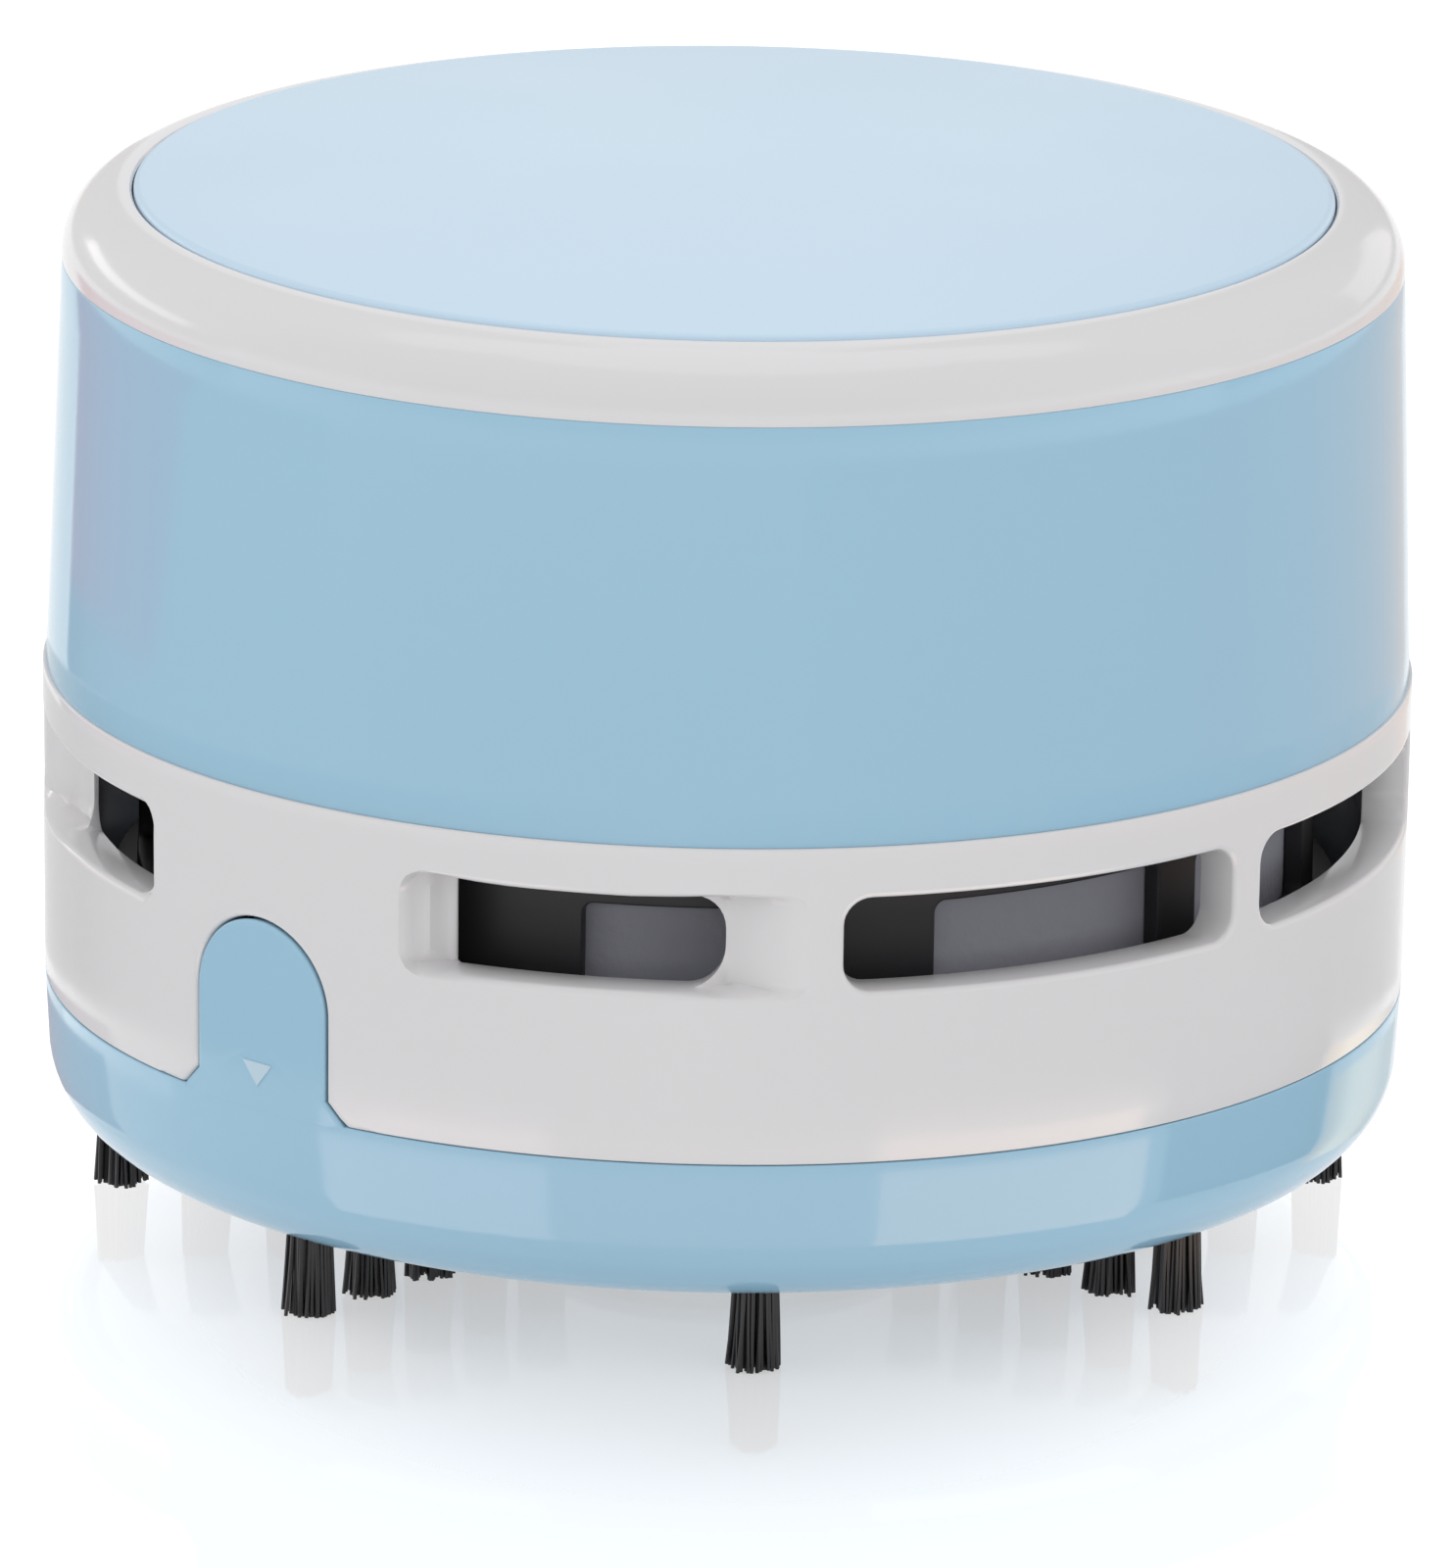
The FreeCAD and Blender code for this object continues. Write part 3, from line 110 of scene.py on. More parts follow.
def closed(name, mesh, sharp, join=None):
    """A mesh as a piece. Points that fall together become one, faces turn outwards, and edges that
    fold by more than the sharp angle stay crisp. Faces that fold by less than join become one."""
    shape = bmesh.new()
    shape.from_mesh(mesh)
    bmesh.ops.remove_doubles(shape, verts=shape.verts, dist=2e-6)
    if join is None:
        bmesh.ops.dissolve_degenerate(shape, edges=shape.edges, dist=1e-7)
    else:
        limit = math.radians(join)
        bmesh.ops.dissolve_limit(shape, verts=shape.verts, edges=shape.edges, angle_limit=limit)
    bmesh.ops.recalc_face_normals(shape, faces=shape.faces)
    shape.to_mesh(mesh)
    shape.free()
    mesh.shade_smooth()
    mesh.set_sharp_from_angle(angle=math.radians(sharp))
    return placed(name, mesh)


def solid(name, grids, sharp=38):
    """One piece from grids of points."""
    return closed(name, grid_mesh(name, grids), sharp)


def ring_grid(corners, columns=192, steps=5):
    """A grid turned about the Z axis from a closed outline of (radius, height, rounding)."""
    line = eased(corners, steps)
    line = np.concatenate([line, line[:1]])
    return on_rings(np.linspace(0, 360, columns + 1)[None], line[:, :1], line[:, 1:])


def turned(name, corners, columns=192):
    """A piece that is one ring or disc."""
    return solid(name, [ring_grid(corners, columns)])


def plug(tree, node, inputs):
    """Sets a node's inputs, by name or place, or links those whose value is another's socket."""
    for place, value in inputs.items():
        if isinstance(value, bpy.types.NodeSocket):
            tree.links.new(value, node.inputs[place])
        else:
            node.inputs[place].default_value = value
    return node


def added(tree, kind, inputs=None, **settings):
    """A new node of that kind, with its settings and inputs."""
    node = tree.nodes.new(kind)
    for name, value in settings.items():
        setattr(node, name, value)
    return plug(tree, node, inputs or {})


def painted(name):
    """A new material with its node tree."""
    material = bpy.data.materials.new(name)
    material.use_nodes = True
    return material, material.node_tree


def moulded_grain():
    """Noise at two sizes: a slow swell for the flow of the melt and a fine grain, each from 0 to 1.
    Height is swell plus grain, and Sheen is a patchy share for the roughness."""
    group = bpy.data.node_groups.new("moulded grain", "ShaderNodeTree")
    for name in ("Grain Scale", "Grain Share"):
        group.interface.new_socket(name=name, in_out="INPUT", socket_type="NodeSocketFloat")
    for name in ("Height", "Sheen"):
        group.interface.new_socket(name=name, in_out="OUTPUT", socket_type="NodeSocketFloat")
    entry = group.nodes.new("NodeGroupInput").outputs
    leave = group.nodes.new("NodeGroupOutput")
    place = added(group, "ShaderNodeTexCoord").outputs["Object"]
    swell = added(group, "ShaderNodeTexNoise", {"Vector": place, "Scale": 60.0, "Detail": 1.0})
    grain = added(group, "ShaderNodeTexNoise", {
        "Vector": place, "Scale": entry["Grain Scale"], "Detail": 3.0})
    height = added(group, "ShaderNodeMix", {
        "Factor": entry["Grain Share"], "A": swell.outputs["Fac"], "B": grain.outputs["Fac"]})
    plug(group, leave, {"Height": height.outputs["Result"], "Sheen": swell.outputs["Fac"]})
    return group


GRAIN = moulded_grain()


def finish(name, colour, roughness, uneven=0.04, grain=2500, share=0.1, relief=0.05,
           metallic=0.0, depth=0.0001, specular=0.5, shade=None):
    """A surface of one colour whose roughness wanders by uneven and whose skin has that grain.
    With a shade, the colour wanders towards it."""
    material, tree = painted(name)
    skin = added(tree, "ShaderNodeGroup", {"Grain Scale": grain, "Grain Share": share},
                 node_tree=GRAIN).outputs
    rough = added(tree, "ShaderNodeMapRange", {
        "Value": skin["Sheen"], "To Min": max(roughness - uneven, 0.02), "To Max": roughness + uneven})
    bump = added(tree, "ShaderNodeBump", {
        "Strength": relief, "Distance": depth, "Height": skin["Height"]})
    tint = (*colour, 1)
    if shade is not None:
        wander = {0: skin["Sheen"], 6: tint, 7: (*shade, 1)}
        tint = added(tree, "ShaderNodeMix", wander, data_type="RGBA").outputs[2]
    plug(tree, tree.nodes["Principled BSDF"], {
        "Base Color": tint, "Metallic": metallic, "Specular IOR Level": specular,
        "Roughness": rough.outputs["Result"], "Normal": bump.outputs["Normal"]})
    return material


def dress(piece, material, body, node):
    """Gives a new piece its material, the body it rides on and the node it stands for."""
    piece.data.materials.clear()
    piece.data.materials.append(material)
    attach(piece, body)
    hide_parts(node)


body_blue = finish("light blue gloss plastic", (0.325, 0.535, 0.680), 0.10, uneven=0.02, relief=0.03)

UNDERSIDE = 4.7
PARTING = 14.18
RIM_RADIUS = 42.3
BELLY_RADIUS = 42.05
BELLY_HEIGHT = 10.0
FLAT_RADIUS = 37.3
NOZZLE_HOLE = 10.1
CHAMBER_RADIUS = 37.3
SPIGOT_RADIUS = 38.8
SPIGOT_TOP = 19.0
GROOVE_RADIUS = 40.3
GROOVE_FLOOR = 8.0
FLOOR_TOP = 6.5


def level_arc(first, last, level, steps):
    """An arc from the first (radius, height) point to the last, round a centre at that level. Its
    distance c from the axis follows from (x1 - c)^2 + y1^2 = (x2 - c)^2 + y2^2, y from the level."""
    rise, drop = first[1] - level, last[1] - level
    centre = (last[0] ** 2 + drop ** 2 - first[0] ** 2 - rise ** 2) / (2 * (last[0] - first[0]))
    radius = math.hypot(last[0] - centre, drop)
    start, end = math.atan2(rise, first[0] - centre), math.atan2(drop, last[0] - centre)
    turn = np.linspace(start, end, steps + 1)
    return [(centre + radius * math.cos(a), level + radius * math.sin(a)) for a in turn]


dress(turned("dust_tray_moulding", [
    (NOZZLE_HOLE, UNDERSIDE),
    *level_arc((FLAT_RADIUS, UNDERSIDE), (BELLY_RADIUS, BELLY_HEIGHT), BELLY_HEIGHT, 14),
    (RIM_RADIUS, PARTING, 0.08),
    (GROOVE_RADIUS, PARTING, 0.2),
    (GROOVE_RADIUS, GROOVE_FLOOR, 0.4),
    (SPIGOT_RADIUS, GROOVE_FLOOR, 0.4),
    (SPIGOT_RADIUS, SPIGOT_TOP, 0.3),
    (CHAMBER_RADIUS, SPIGOT_TOP, 0.3),
    (CHAMBER_RADIUS, FLOOR_TOP, 1.2),
    (NOZZLE_HOLE, FLOOR_TOP),
], columns=288), body_blue, "base", "dust_tray")

SEAL_PROUD = 0.5
SEAL_FOOT, SEAL_TOP = 15.0, 16.5
seal_rubber = finish("black rubber", (0.022, 0.022, 0.024), 0.6, grain=900, share=0.7)
dress(turned("tray_seal_ring", [
    (SPIGOT_RADIUS, SEAL_FOOT), (SPIGOT_RADIUS + SEAL_PROUD, SEAL_FOOT, 0.2),
    (SPIGOT_RADIUS + SEAL_PROUD, SEAL_TOP, 0.2), (SPIGOT_RADIUS, SEAL_TOP),
]), seal_rubber, "base", "tray_seal")


# Suction nozzle. A glossy black tube with a lip, pressed through the tray's floor, so that crumbs
# that have passed it stay in the tray.
gloss_black = finish("gloss black plastic", (0.012, 0.012, 0.013), 0.12, uneven=0.03)
NOZZLE_BORE = 8.6
NOZZLE_LIP = 12.0
NOZZLE_FOOT, NOZZLE_TOP = 3.6, 18.5
dress(turned("suction_nozzle_tube", [
    (NOZZLE_BORE, NOZZLE_FOOT, 0.5), (NOZZLE_LIP, NOZZLE_FOOT, 0.5), (NOZZLE_LIP, UNDERSIDE),
    (NOZZLE_HOLE, UNDERSIDE), (NOZZLE_HOLE, NOZZLE_TOP, 0.4), (NOZZLE_BORE, NOZZLE_TOP, 0.4),
]), gloss_black, "base", "suction_nozzle")


# Brush tufts. Thirty-two bunches of black nylon bristle, stapled into blind holes of the underside,
# in six spokes of five and two single ones. They splay a little, and their cut ends carry the part.
nylon_black = finish("black nylon bristle", (0.010, 0.010, 0.012), 0.38, uneven=0.08, grain=3000)
TUFT_OUTER_RING = 37.5
TUFT_INNER_RING = 16.4
TUFT_ROOT = 1.45
TUFT_TIP = 1.75
TUFT_TOP = 5.9
TUFTS_PER_SPOKE = [5, 1, 5, 5, 5, 1, 5, 5]
BRISTLES = 110
BRISTLE_RADIUS = 0.13
BRISTLE_SIDES = 5
BRISTLE_STEPS = 4
BRISTLE_BEND = 0.11
BRISTLE_STRAY = 0.12
UNEVEN_CUT = 0.22


def bristles(centre_x, centre_y, draw):
    """The bristles of one tuft. Each is a thin five-sided tube whose middle line leans outwards
    from its place at the root, by the tuft's splay and a random bend that grows with the square
    of the way down."""
    reach = np.sqrt(draw.uniform(0, 1, BRISTLES)) * (TUFT_ROOT - BRISTLE_RADIUS)
    round_by = draw.uniform(0, 2 * math.pi, BRISTLES)
    splay = TUFT_TIP / TUFT_ROOT
    bend = draw.normal(0, BRISTLE_BEND, (BRISTLES, 2))
    cut = draw.uniform(0.0, UNEVEN_CUT, BRISTLES)
    down = np.linspace(0, 1, BRISTLE_STEPS + 1)
    root = reach[:, None] * unit(round_by)
    fall = down[None, :, None]
    middle = root[:, None] * (1 + (splay - 1) * fall) + bend[:, None] * fall ** 2
    limit = TUFT_TIP + BRISTLE_STRAY - BRISTLE_RADIUS
    far = np.linalg.norm(middle, axis=-1, keepdims=True)
    middle = middle * np.minimum(1, limit / np.maximum(far, 1e-6))
    height = TUFT_TOP + (cut[:, None] - TUFT_TOP) * down[None]
    side = np.linspace(0, 2 * math.pi, BRISTLE_SIDES + 1)
    across = BRISTLE_RADIUS * unit(side)
    tubes = np.zeros((BRISTLES, BRISTLE_STEPS + 3, BRISTLE_SIDES + 1, 3))
    tubes[:, 1:-1, :, :2] = middle[:, :, None] + across[None, None]
    tubes[:, 1:-1, :, 2] = height[:, :, None]
    for end in (0, -1):
        tubes[:, end, :, :2] = middle[:, end, None]
        tubes[:, end, :, 2] = height[:, end, None]
    return list(tubes + (centre_x, centre_y, 0))


for spoke, tufts in enumerate(TUFTS_PER_SPOKE):
    draw = np.random.default_rng(100 + spoke)
    bearing = math.radians(45 * spoke)
    tubes = []
    for ring in range(tufts):
        radius = TUFT_OUTER_RING - ring * (TUFT_OUTER_RING - TUFT_INNER_RING) / 4
        tubes += bristles(radius * math.sin(bearing), -radius * math.cos(bearing), draw)
    dress(solid(f"bristles_{45 * spoke:03d}", tubes, sharp=60),
          nylon_black, "base", f"brush_row_{45 * spoke:03d}")


# Vent band. A ring of glossy warm white ABS, 3 mm thick, with four air slots on each side and a
# notch for each release tab. The first and last slot of a side end in a shallow scoop.
SLOT_FLOOR = 24.95
SLOT_TOP = 30.8
SLOT_CORNER = 1.7
STEP_CORNERS = (0.4, 2.4, 2.4, 0.4)
CELL_FLOOR = 23.9
CELL_TOP = 31.75
BAND_FOOT = 14.24
BAND_TOP = 34.0
BAND_BORE = 39.5
BAND_EDGE = 0.12
FACE_FOOT = 42.3
FACE_FLARE = 0.2
WALL_RADIUS = 42.4
MM_PER_DEGREE = WALL_RADIUS * math.pi / 180
LONG_STEPS = 16
SHORT_STEPS = 5
ARC_STEPS = 4
SIDE_COUNTS = [LONG_STEPS + 2 * ARC_STEPS + 1, SHORT_STEPS + 2 * ARC_STEPS + 1] * 2


def box_corners(left, right, low, high):
    return np.array([(left, low), (right, low), (right, high), (left, high)], float)


def plain_box(left, right, low, high):
    """Once round a box, each side cut evenly, as (bearing, height) points; it ends where it began."""
    corners = box_corners(left, right, low, high)
    sides = [np.linspace(corners[i], corners[(i + 1) % 4], SIDE_COUNTS[i])[:-1] for i in range(4)]
    return np.concatenate([*sides, sides[0][:1]])


def round_box(left, right, low, high, corner, grow=0.0):
    """Once round a box with rounded corners, grown by that much on every side. A side starts and
    ends half way round its corners, so it has as many points as a plain box's side."""
    start, end = left * MM_PER_DEGREE, right * MM_PER_DEGREE
    corners = box_corners(start - grow, end + grow, low - grow, high + grow)
    corner = np.broadcast_to(corner, 4) + grow
    centres = corners + corner[:, None] * np.array([(1, 1), (-1, 1), (-1, -1), (1, -1)])
    sides = []
    for i in range(4):
        turn = np.radians(225 + 90 * i + np.linspace(0, 45, ARC_STEPS + 1))
        first = centres[i] + corner[i] * unit(turn)
        turn = turn + math.pi / 4
        last = centres[(i + 1) % 4] + corner[(i + 1) % 4] * unit(turn)
        steps = (LONG_STEPS, SHORT_STEPS)[i % 2]
        straight = np.linspace(first[-1], last[0], steps + 1)[1:-1]
        sides.append(np.concatenate([first, straight, last])[:-1])
    loop = np.concatenate([*sides, sides[0][:1]])
    loop[:, 0] /= MM_PER_DEGREE
    return loop


def hole_in(left, right, low, high, corner):
    """A hole's outline, as a function of how far it is grown."""
    return lambda grow: round_box(left, right, low, high, corner, grow)


def between(first, last, shares):
    """Loops that lie at those shares of the way from the first loop to the last."""
    return [first + (last - first) * share for share in shares]


def laid(rows, bearing=0):
    """A grid of (loop, radius) pairs: each loop of (bearing, height) points lies at its radius."""
    loops = np.stack([loop for loop, _ in rows])
    radii = np.stack([np.broadcast_to(radius, loops.shape[1]) for _, radius in rows])
    return on_rings(loops[..., 0] + bearing, radii, loops[..., 1])


def edge_steps(rounding, count=4):
    """A rounded edge as (how far out, how deep) pairs: a quarter circle from the face into the hole."""
    turn = np.linspace(0, math.pi / 2, count)
    return [(rounding * (1 - math.sin(a)), rounding * (1 - math.cos(a))) for a in turn]


def up_to(face, first, last, shares):
    """Rows on a face at those shares of the way from the first loop to the last."""
    return [(loop, face(loop[:, 1])) for loop in between(first, last, shares)]


def over_edge(face, hole, rounding, count=4):
    """Rows that roll from a face over a rounded edge into a hole."""
    steps = [(hole(out), deep) for out, deep in edge_steps(rounding, count)]
    return [(loop, face(loop[:, 1]) - deep) for loop, deep in steps]


SLOT_EDGE = 0.35
INNER_EDGE = 0.2


def through_cell(cell, hole, outer, inner, edge=SLOT_EDGE, scoop=None):
    """The part of a ring between its outer and inner face round one hole. The rows run from the
    cell's border over the outer face, into the hole and out over the inner face. A scoop is a
    wider loop with a function of the points that says how deep the face has sunk there."""
    border = plain_box(*cell)
    lip = hole(edge) if scoop is None else scoop[0]
    rows = up_to(outer, border, lip, (0, 0.4, 0.75, 0.92))
    if scoop is None:
        rows += over_edge(outer, hole, edge)
    else:
        rows += [(loop, radius - scoop[1](loop))
                 for loop, radius in up_to(outer, lip, hole(0), np.linspace(0, 1, 11))]
    rows += [(hole(out), inner + more) for out, more in reversed(edge_steps(INNER_EDGE, 3))]
    rows += [(loop, inner) for loop in between(border, hole(INNER_EDGE), (0.9, 0.5, 0))]
    return laid(rows)


def soft_ends(heights, low, high, rounding):
    """How far a wall's face draws in near its two ends, as quarter circles of that rounding."""
    near = np.minimum(heights - low, high - heights)
    near = np.clip(near, 0, rounding)
    return rounding - np.sqrt(rounding ** 2 - (rounding - near) ** 2)


def plain_face(heights):
    """The radius of a face that flares evenly from the band's foot to its top."""
    return FACE_FOOT + FACE_FLARE * (heights - BAND_FOOT) / (BAND_TOP - BAND_FOOT)


def band_face(heights):
    """The band's outer radius, with both its edges rounded."""
    return plain_face(heights) - soft_ends(heights, BAND_FOOT, BAND_TOP, BAND_EDGE)


def end_heights(low, high, rounding, count):
    """Heights from low to high, close together where the edge at low is rounded."""
    fine = low + rounding * (1 - np.cos(np.linspace(0, math.pi / 2, 4)))
    return np.concatenate([fine[:-1], np.linspace(low + rounding, high, count)])


def sheet_of(bearings, heights, radii):
    """A grid on a face of turning: every bearing at every height."""
    return on_rings(bearings[None], np.broadcast_to(radii, heights.shape)[:, None], heights[:, None])


NOTCH_HALF = 5.4
NOTCH_STRAIGHT = 20.7
NOTCH_FLARE = 1.3
NOTCH_EDGE = 0.3
NOTCH_CELL = 12.6
GROOVE_HALF = 3.6
GROOVE_TOP = 28.5
GROOVE_DEPTH = 40.4
foot_heights = end_heights(BAND_FOOT, CELL_FLOOR, BAND_EDGE, 8)
side_heights = np.linspace(CELL_FLOOR, CELL_TOP, SIDE_COUNTS[1])
column_heights = np.concatenate([foot_heights, side_heights[1:]])


def tongue(half, grow=0.0, foot=BAND_FOOT):
    """The open outline of a round-topped tongue with a flared foot, up its left side, over its top
    and down its right, as (across, height). It is grown by that much and cut off at foot."""
    bend = BAND_FOOT + NOTCH_FLARE + grow * (math.sqrt(2) - 1)
    wide = half + grow
    start = (foot - BAND_FOOT - half - NOTCH_FLARE - grow * math.sqrt(2), foot)
    flare = np.linspace(start, (-wide, bend), 4)[:-1]
    straight = np.linspace((-wide, bend), (-wide, NOTCH_STRAIGHT), 9)[:-1]
    turn = np.radians(np.linspace(180, 135, len(column_heights) - len(flare) - len(straight)))
    climb = wide * unit(turn) + (0, NOTCH_STRAIGHT)
    left = np.concatenate([flare, straight, climb])
    turn = np.radians(np.linspace(135, 45, SIDE_COUNTS[0]))
    over = wide * unit(turn) + (0, NOTCH_STRAIGHT)
    right = (left * (-1, 1))[::-1]
    return np.concatenate([left[:-1], over, right[1:]])


def in_degrees(outline):
    """An outline drawn flat, as (across, height), laid on the face as (bearing, height)."""
    across = np.degrees(np.arcsin(np.clip(outline[:, 0] / WALL_RADIUS, -1, 1)))
    return np.stack([across, outline[:, 1]], 1)


def notch_column(bearing):
    """The column of the band round a tab's notch, from its foot to above the slots. Behind the
    notch the latch's groove runs on upwards in the inner face."""
    left = np.stack([np.full(len(column_heights), -NOTCH_CELL), column_heights], 1)
    over = np.linspace((-NOTCH_CELL, CELL_TOP), (NOTCH_CELL, CELL_TOP), SIDE_COUNTS[0])
    border = np.concatenate([left[:-1], over, (left * (-1, 1))[::-1][1:]])

    def notch(grow):
        return in_degrees(tongue(NOTCH_HALF, grow))

    rows = up_to(band_face, border, notch(NOTCH_EDGE), (0, 0.35, 0.65, 0.88))
    rows += over_edge(band_face, notch, NOTCH_EDGE)
    rows.append((notch(0), GROOVE_DEPTH))
    outer_rows = len(rows)
    grooved = tongue(NOTCH_HALF)
    grooved[np.abs(grooved[:, 0]) < GROOVE_HALF, 1] = GROOVE_TOP
    grooved = in_degrees(grooved)
    rows.append((grooved, GROOVE_DEPTH))
    inner_start = len(rows)
    rows += [(loop, BAND_BORE) for loop in between(grooved, border, (0, 0.35, 0.7, 1))]
    face = laid(rows, bearing)
    grids = [face]
    for end in (0, -1):
        outside = face[:outer_rows, end]
        inside = face[inner_start:, end][::-1]
        inside = inside[np.round(np.linspace(0, len(inside) - 1, len(outside))).astype(int)]
        grids.append(np.stack([outside, inside]))
    return grids


SCOOP_RIM = 0.5
HALF_CELLS = [(12.6, 50.1), (50.1, 90.0), (90.0, 129.9), (129.9, 167.4)]
HALF_SLOTS = [(17.8, 41.8), (51.4, 88.3), (91.7, 128.6), (143.5, 166.3)]
NEAR_SCOOP = [(14.2, 0), (14.56, 0.3), (14.92, 0.9), (15.28, 1.3), (15.64, 1.5), (16.0, 1.6),
              (16.36, 2.1), (16.72, 2.5), (17.8, 2.9), (18.6, 1.6), (20.5, 0.9), (24.0, 0.5),
              (34.0, 0.45), (38.5, 1.0), (41.8, 2.2), (43.4, 1.6), (45.2, 0.9), (47.0, 0.3), (48.8, 0)]
FAR_SCOOP = [(131.2, 0), (133.0, 0.3), (134.8, 0.9), (136.5, 1.5), (138.2, 1.95), (140.0, 2.2),
             (143.5, 2.6), (147.0, 1.1), (151.0, 0.45), (166.3, 0.45), (166.45, 0.2), (166.65, 0.06),
             (166.9, 0)]
HALF_SCOOPS = [NEAR_SCOOP, None, None, FAR_SCOOP]


def scooped(knots, half_turn):
    """A scoop's outline, and its depth: the depth along the bearing is read between the knots, and
    over the upper and lower rim it grows as a quarter circle, 1 - sqrt(1 - t^2)."""
    bearings = np.array([knot[0] for knot in knots]) + half_turn
    depths = np.array([knot[1] for knot in knots])
    low, high = SLOT_FLOOR - SCOOP_RIM, SLOT_TOP + SCOOP_RIM

    def depth(loop):
        inside = np.minimum(loop[:, 1] - low, high - loop[:, 1]) / SCOOP_RIM
        rim = 1 - np.sqrt(1 - np.clip(inside, 0, 1) ** 2)
        return np.interp(loop[:, 0], bearings, depths) * rim

    return round_box(bearings[0], bearings[-1], low, high, SLOT_CORNER + SCOOP_RIM), depth


band_grids = []
band_bearings = []
for half_turn in (0, 180):
    band_grids += notch_column(half_turn)
    band_bearings.append(np.linspace(-NOTCH_CELL, NOTCH_CELL, SIDE_COUNTS[0]) + half_turn)
    for cell, slot, scoop in zip(HALF_CELLS, HALF_SLOTS, HALF_SCOOPS):
        box = (*np.add(cell, half_turn), CELL_FLOOR, CELL_TOP)
        corner = STEP_CORNERS if scoop is NEAR_SCOOP else SLOT_CORNER
        hole = hole_in(*np.add(slot, half_turn), SLOT_FLOOR, SLOT_TOP, corner)
        band_grids.append(through_cell(box, hole, band_face, BAND_BORE,
                                       scoop=scoop and scooped(scoop, half_turn)))
        along = np.linspace(*cell, SIDE_COUNTS[0]) + half_turn
        band_bearings.append(along)
        band_grids.append(sheet_of(along, foot_heights, band_face(foot_heights)))
        band_grids.append(sheet_of(along, foot_heights, BAND_BORE))
        foot_edges = np.array([[band_face(BAND_FOOT)], [BAND_BORE]])
        band_grids.append(on_rings(along[None], foot_edges, np.array([[BAND_FOOT]])))
DECK_BORE = 31.0
DECK_UNDER = 32.6
top_heights = BAND_TOP + CELL_TOP - end_heights(CELL_TOP, BAND_TOP, BAND_EDGE, 4)[::-1]
deck = np.array([(band_face(BAND_TOP), BAND_TOP), (DECK_BORE, BAND_TOP),
                 (DECK_BORE, DECK_UNDER), (BAND_BORE, DECK_UNDER), (BAND_BORE, CELL_TOP)])
for along in band_bearings:
    band_grids.append(sheet_of(along, top_heights, band_face(top_heights)))
    band_grids.append(on_rings(along[None], deck[:, :1], deck[:, 1:]))
white_gloss = finish("warm white gloss plastic", (0.700, 0.688, 0.695), 0.13, uneven=0.02, relief=0.03)
dress(solid("vent_band_moulding", band_grids, sharp=35),
      white_gloss, "housing", "vent_band")


# Release tabs. Two blue tongues moulded with the tray, each with a raised arrow, flexing inwards
# at the foot and held by a latch arm that reaches up behind the band.
TAB_HALF = 5.25
TAB_BACK = 40.2
TAB_EDGE = 0.15
TAB_DRAFT = 0.4
TAB_FOOT = 14.02
ARROW_CORNERS = np.array([(0, 15.5), (1.2, 17.0), (-1.2, 17.0), (0, 15.5)])
ARROW_RISE = 0.13
LATCH_BLOCKS = [((-3.4, -39.2, 22.6), (3.4, -38.3, 28.3)), ((-3.4, -41.0, 22.6), (3.4, -38.3, 24.6)),
                ((-3.4, -40.2, 27.0), (3.4, -38.3, 28.3))]


def tab_loop(grow):
    """Once round a tongue grown by that much, its foot included, as (across, height)."""
    line = tongue(TAB_HALF, grow, TAB_FOOT)
    floor = np.linspace(line[-1], line[0], 14)[1:]
    return np.concatenate([line, floor])


def eased_block(low, high, rounding=0.15):
    """A box with rounded edges. A point p of a plain box goes to q + r (p - q) / |p - q|, where q
    is the point of the box shrunk by r that lies nearest to p."""
    low, high = np.array(low, float), np.array(high, float)
    centre, half = (low + high) / 2, (high - low) / 2
    near = rounding * np.array([0, 0.6, 1])
    lines = [np.concatenate([near - h, (h - near)[::-1]]) for h in half]
    grids = []
    for axis in range(3):
        a, b = [i for i in range(3) if i != axis]
        u, v = np.meshgrid(lines[a], lines[b], indexing="ij")
        for way in (-1, 1):
            grid = np.zeros((*u.shape, 3))
            grid[..., a], grid[..., b], grid[..., axis] = u, v, way * half[axis]
            inner = np.clip(grid, rounding - half, half - rounding)
            away = grid - inner
            away /= np.linalg.norm(away, axis=-1, keepdims=True)
            grids.append(centre + inner + rounding * away)
    return grids


def turned_by(grids, bearing):
    """Grids turned about the Z axis: x' = x cos t - y sin t and y' = x sin t + y cos t."""
    turn = math.radians(bearing)
    cos, sin = math.cos(turn), math.sin(turn)
    spin = np.array([(cos, sin, 0), (-sin, cos, 0), (0, 0, 1)])
    return [np.asarray(grid) @ spin for grid in grids]


def wrapped(rows):
    """A grid of flat outlines laid on faces of turning: (loop, radius) pairs, bearing 0 in front."""
    return laid([(in_degrees(loop), radius) for loop, radius in rows])


def tongue_grid():
    """A tongue on the band's curve: its face, its rounded edge, its wall and its back."""
    middle = tab_loop(0) * (0, 1)
    middle[:, 1] = np.clip(middle[:, 1], BAND_FOOT + 4, NOTCH_STRAIGHT)
    rows = up_to(plain_face, middle, tab_loop(-TAB_EDGE), (0, 0.25, 0.5, 0.75, 0.93))
    rows += over_edge(plain_face, lambda out: tab_loop(-out), TAB_EDGE, 5)
    rows += [(loop, TAB_BACK) for loop in between(middle, tab_loop(-TAB_DRAFT), (1, 0.6, 0.3, 0))]
    return wrapped(rows)


def arrow_grid():
    """The raised arrow, a triangle pointing down, as loops that close in on its middle."""
    sides = [np.linspace(ARROW_CORNERS[i], ARROW_CORNERS[i + 1], 7)[:-1] for i in range(3)]
    edge = np.concatenate([*sides, ARROW_CORNERS[:1]])
    loops = between(np.array([0, 16.5]), edge, (0, 0.5, 0.8, 0.92, 1, 1))
    return wrapped([(loop, FACE_FOOT + ARROW_RISE - drop)
                    for loop, drop in zip(loops, (0, 0, 0, 0.01, 0.04, 0.3))])


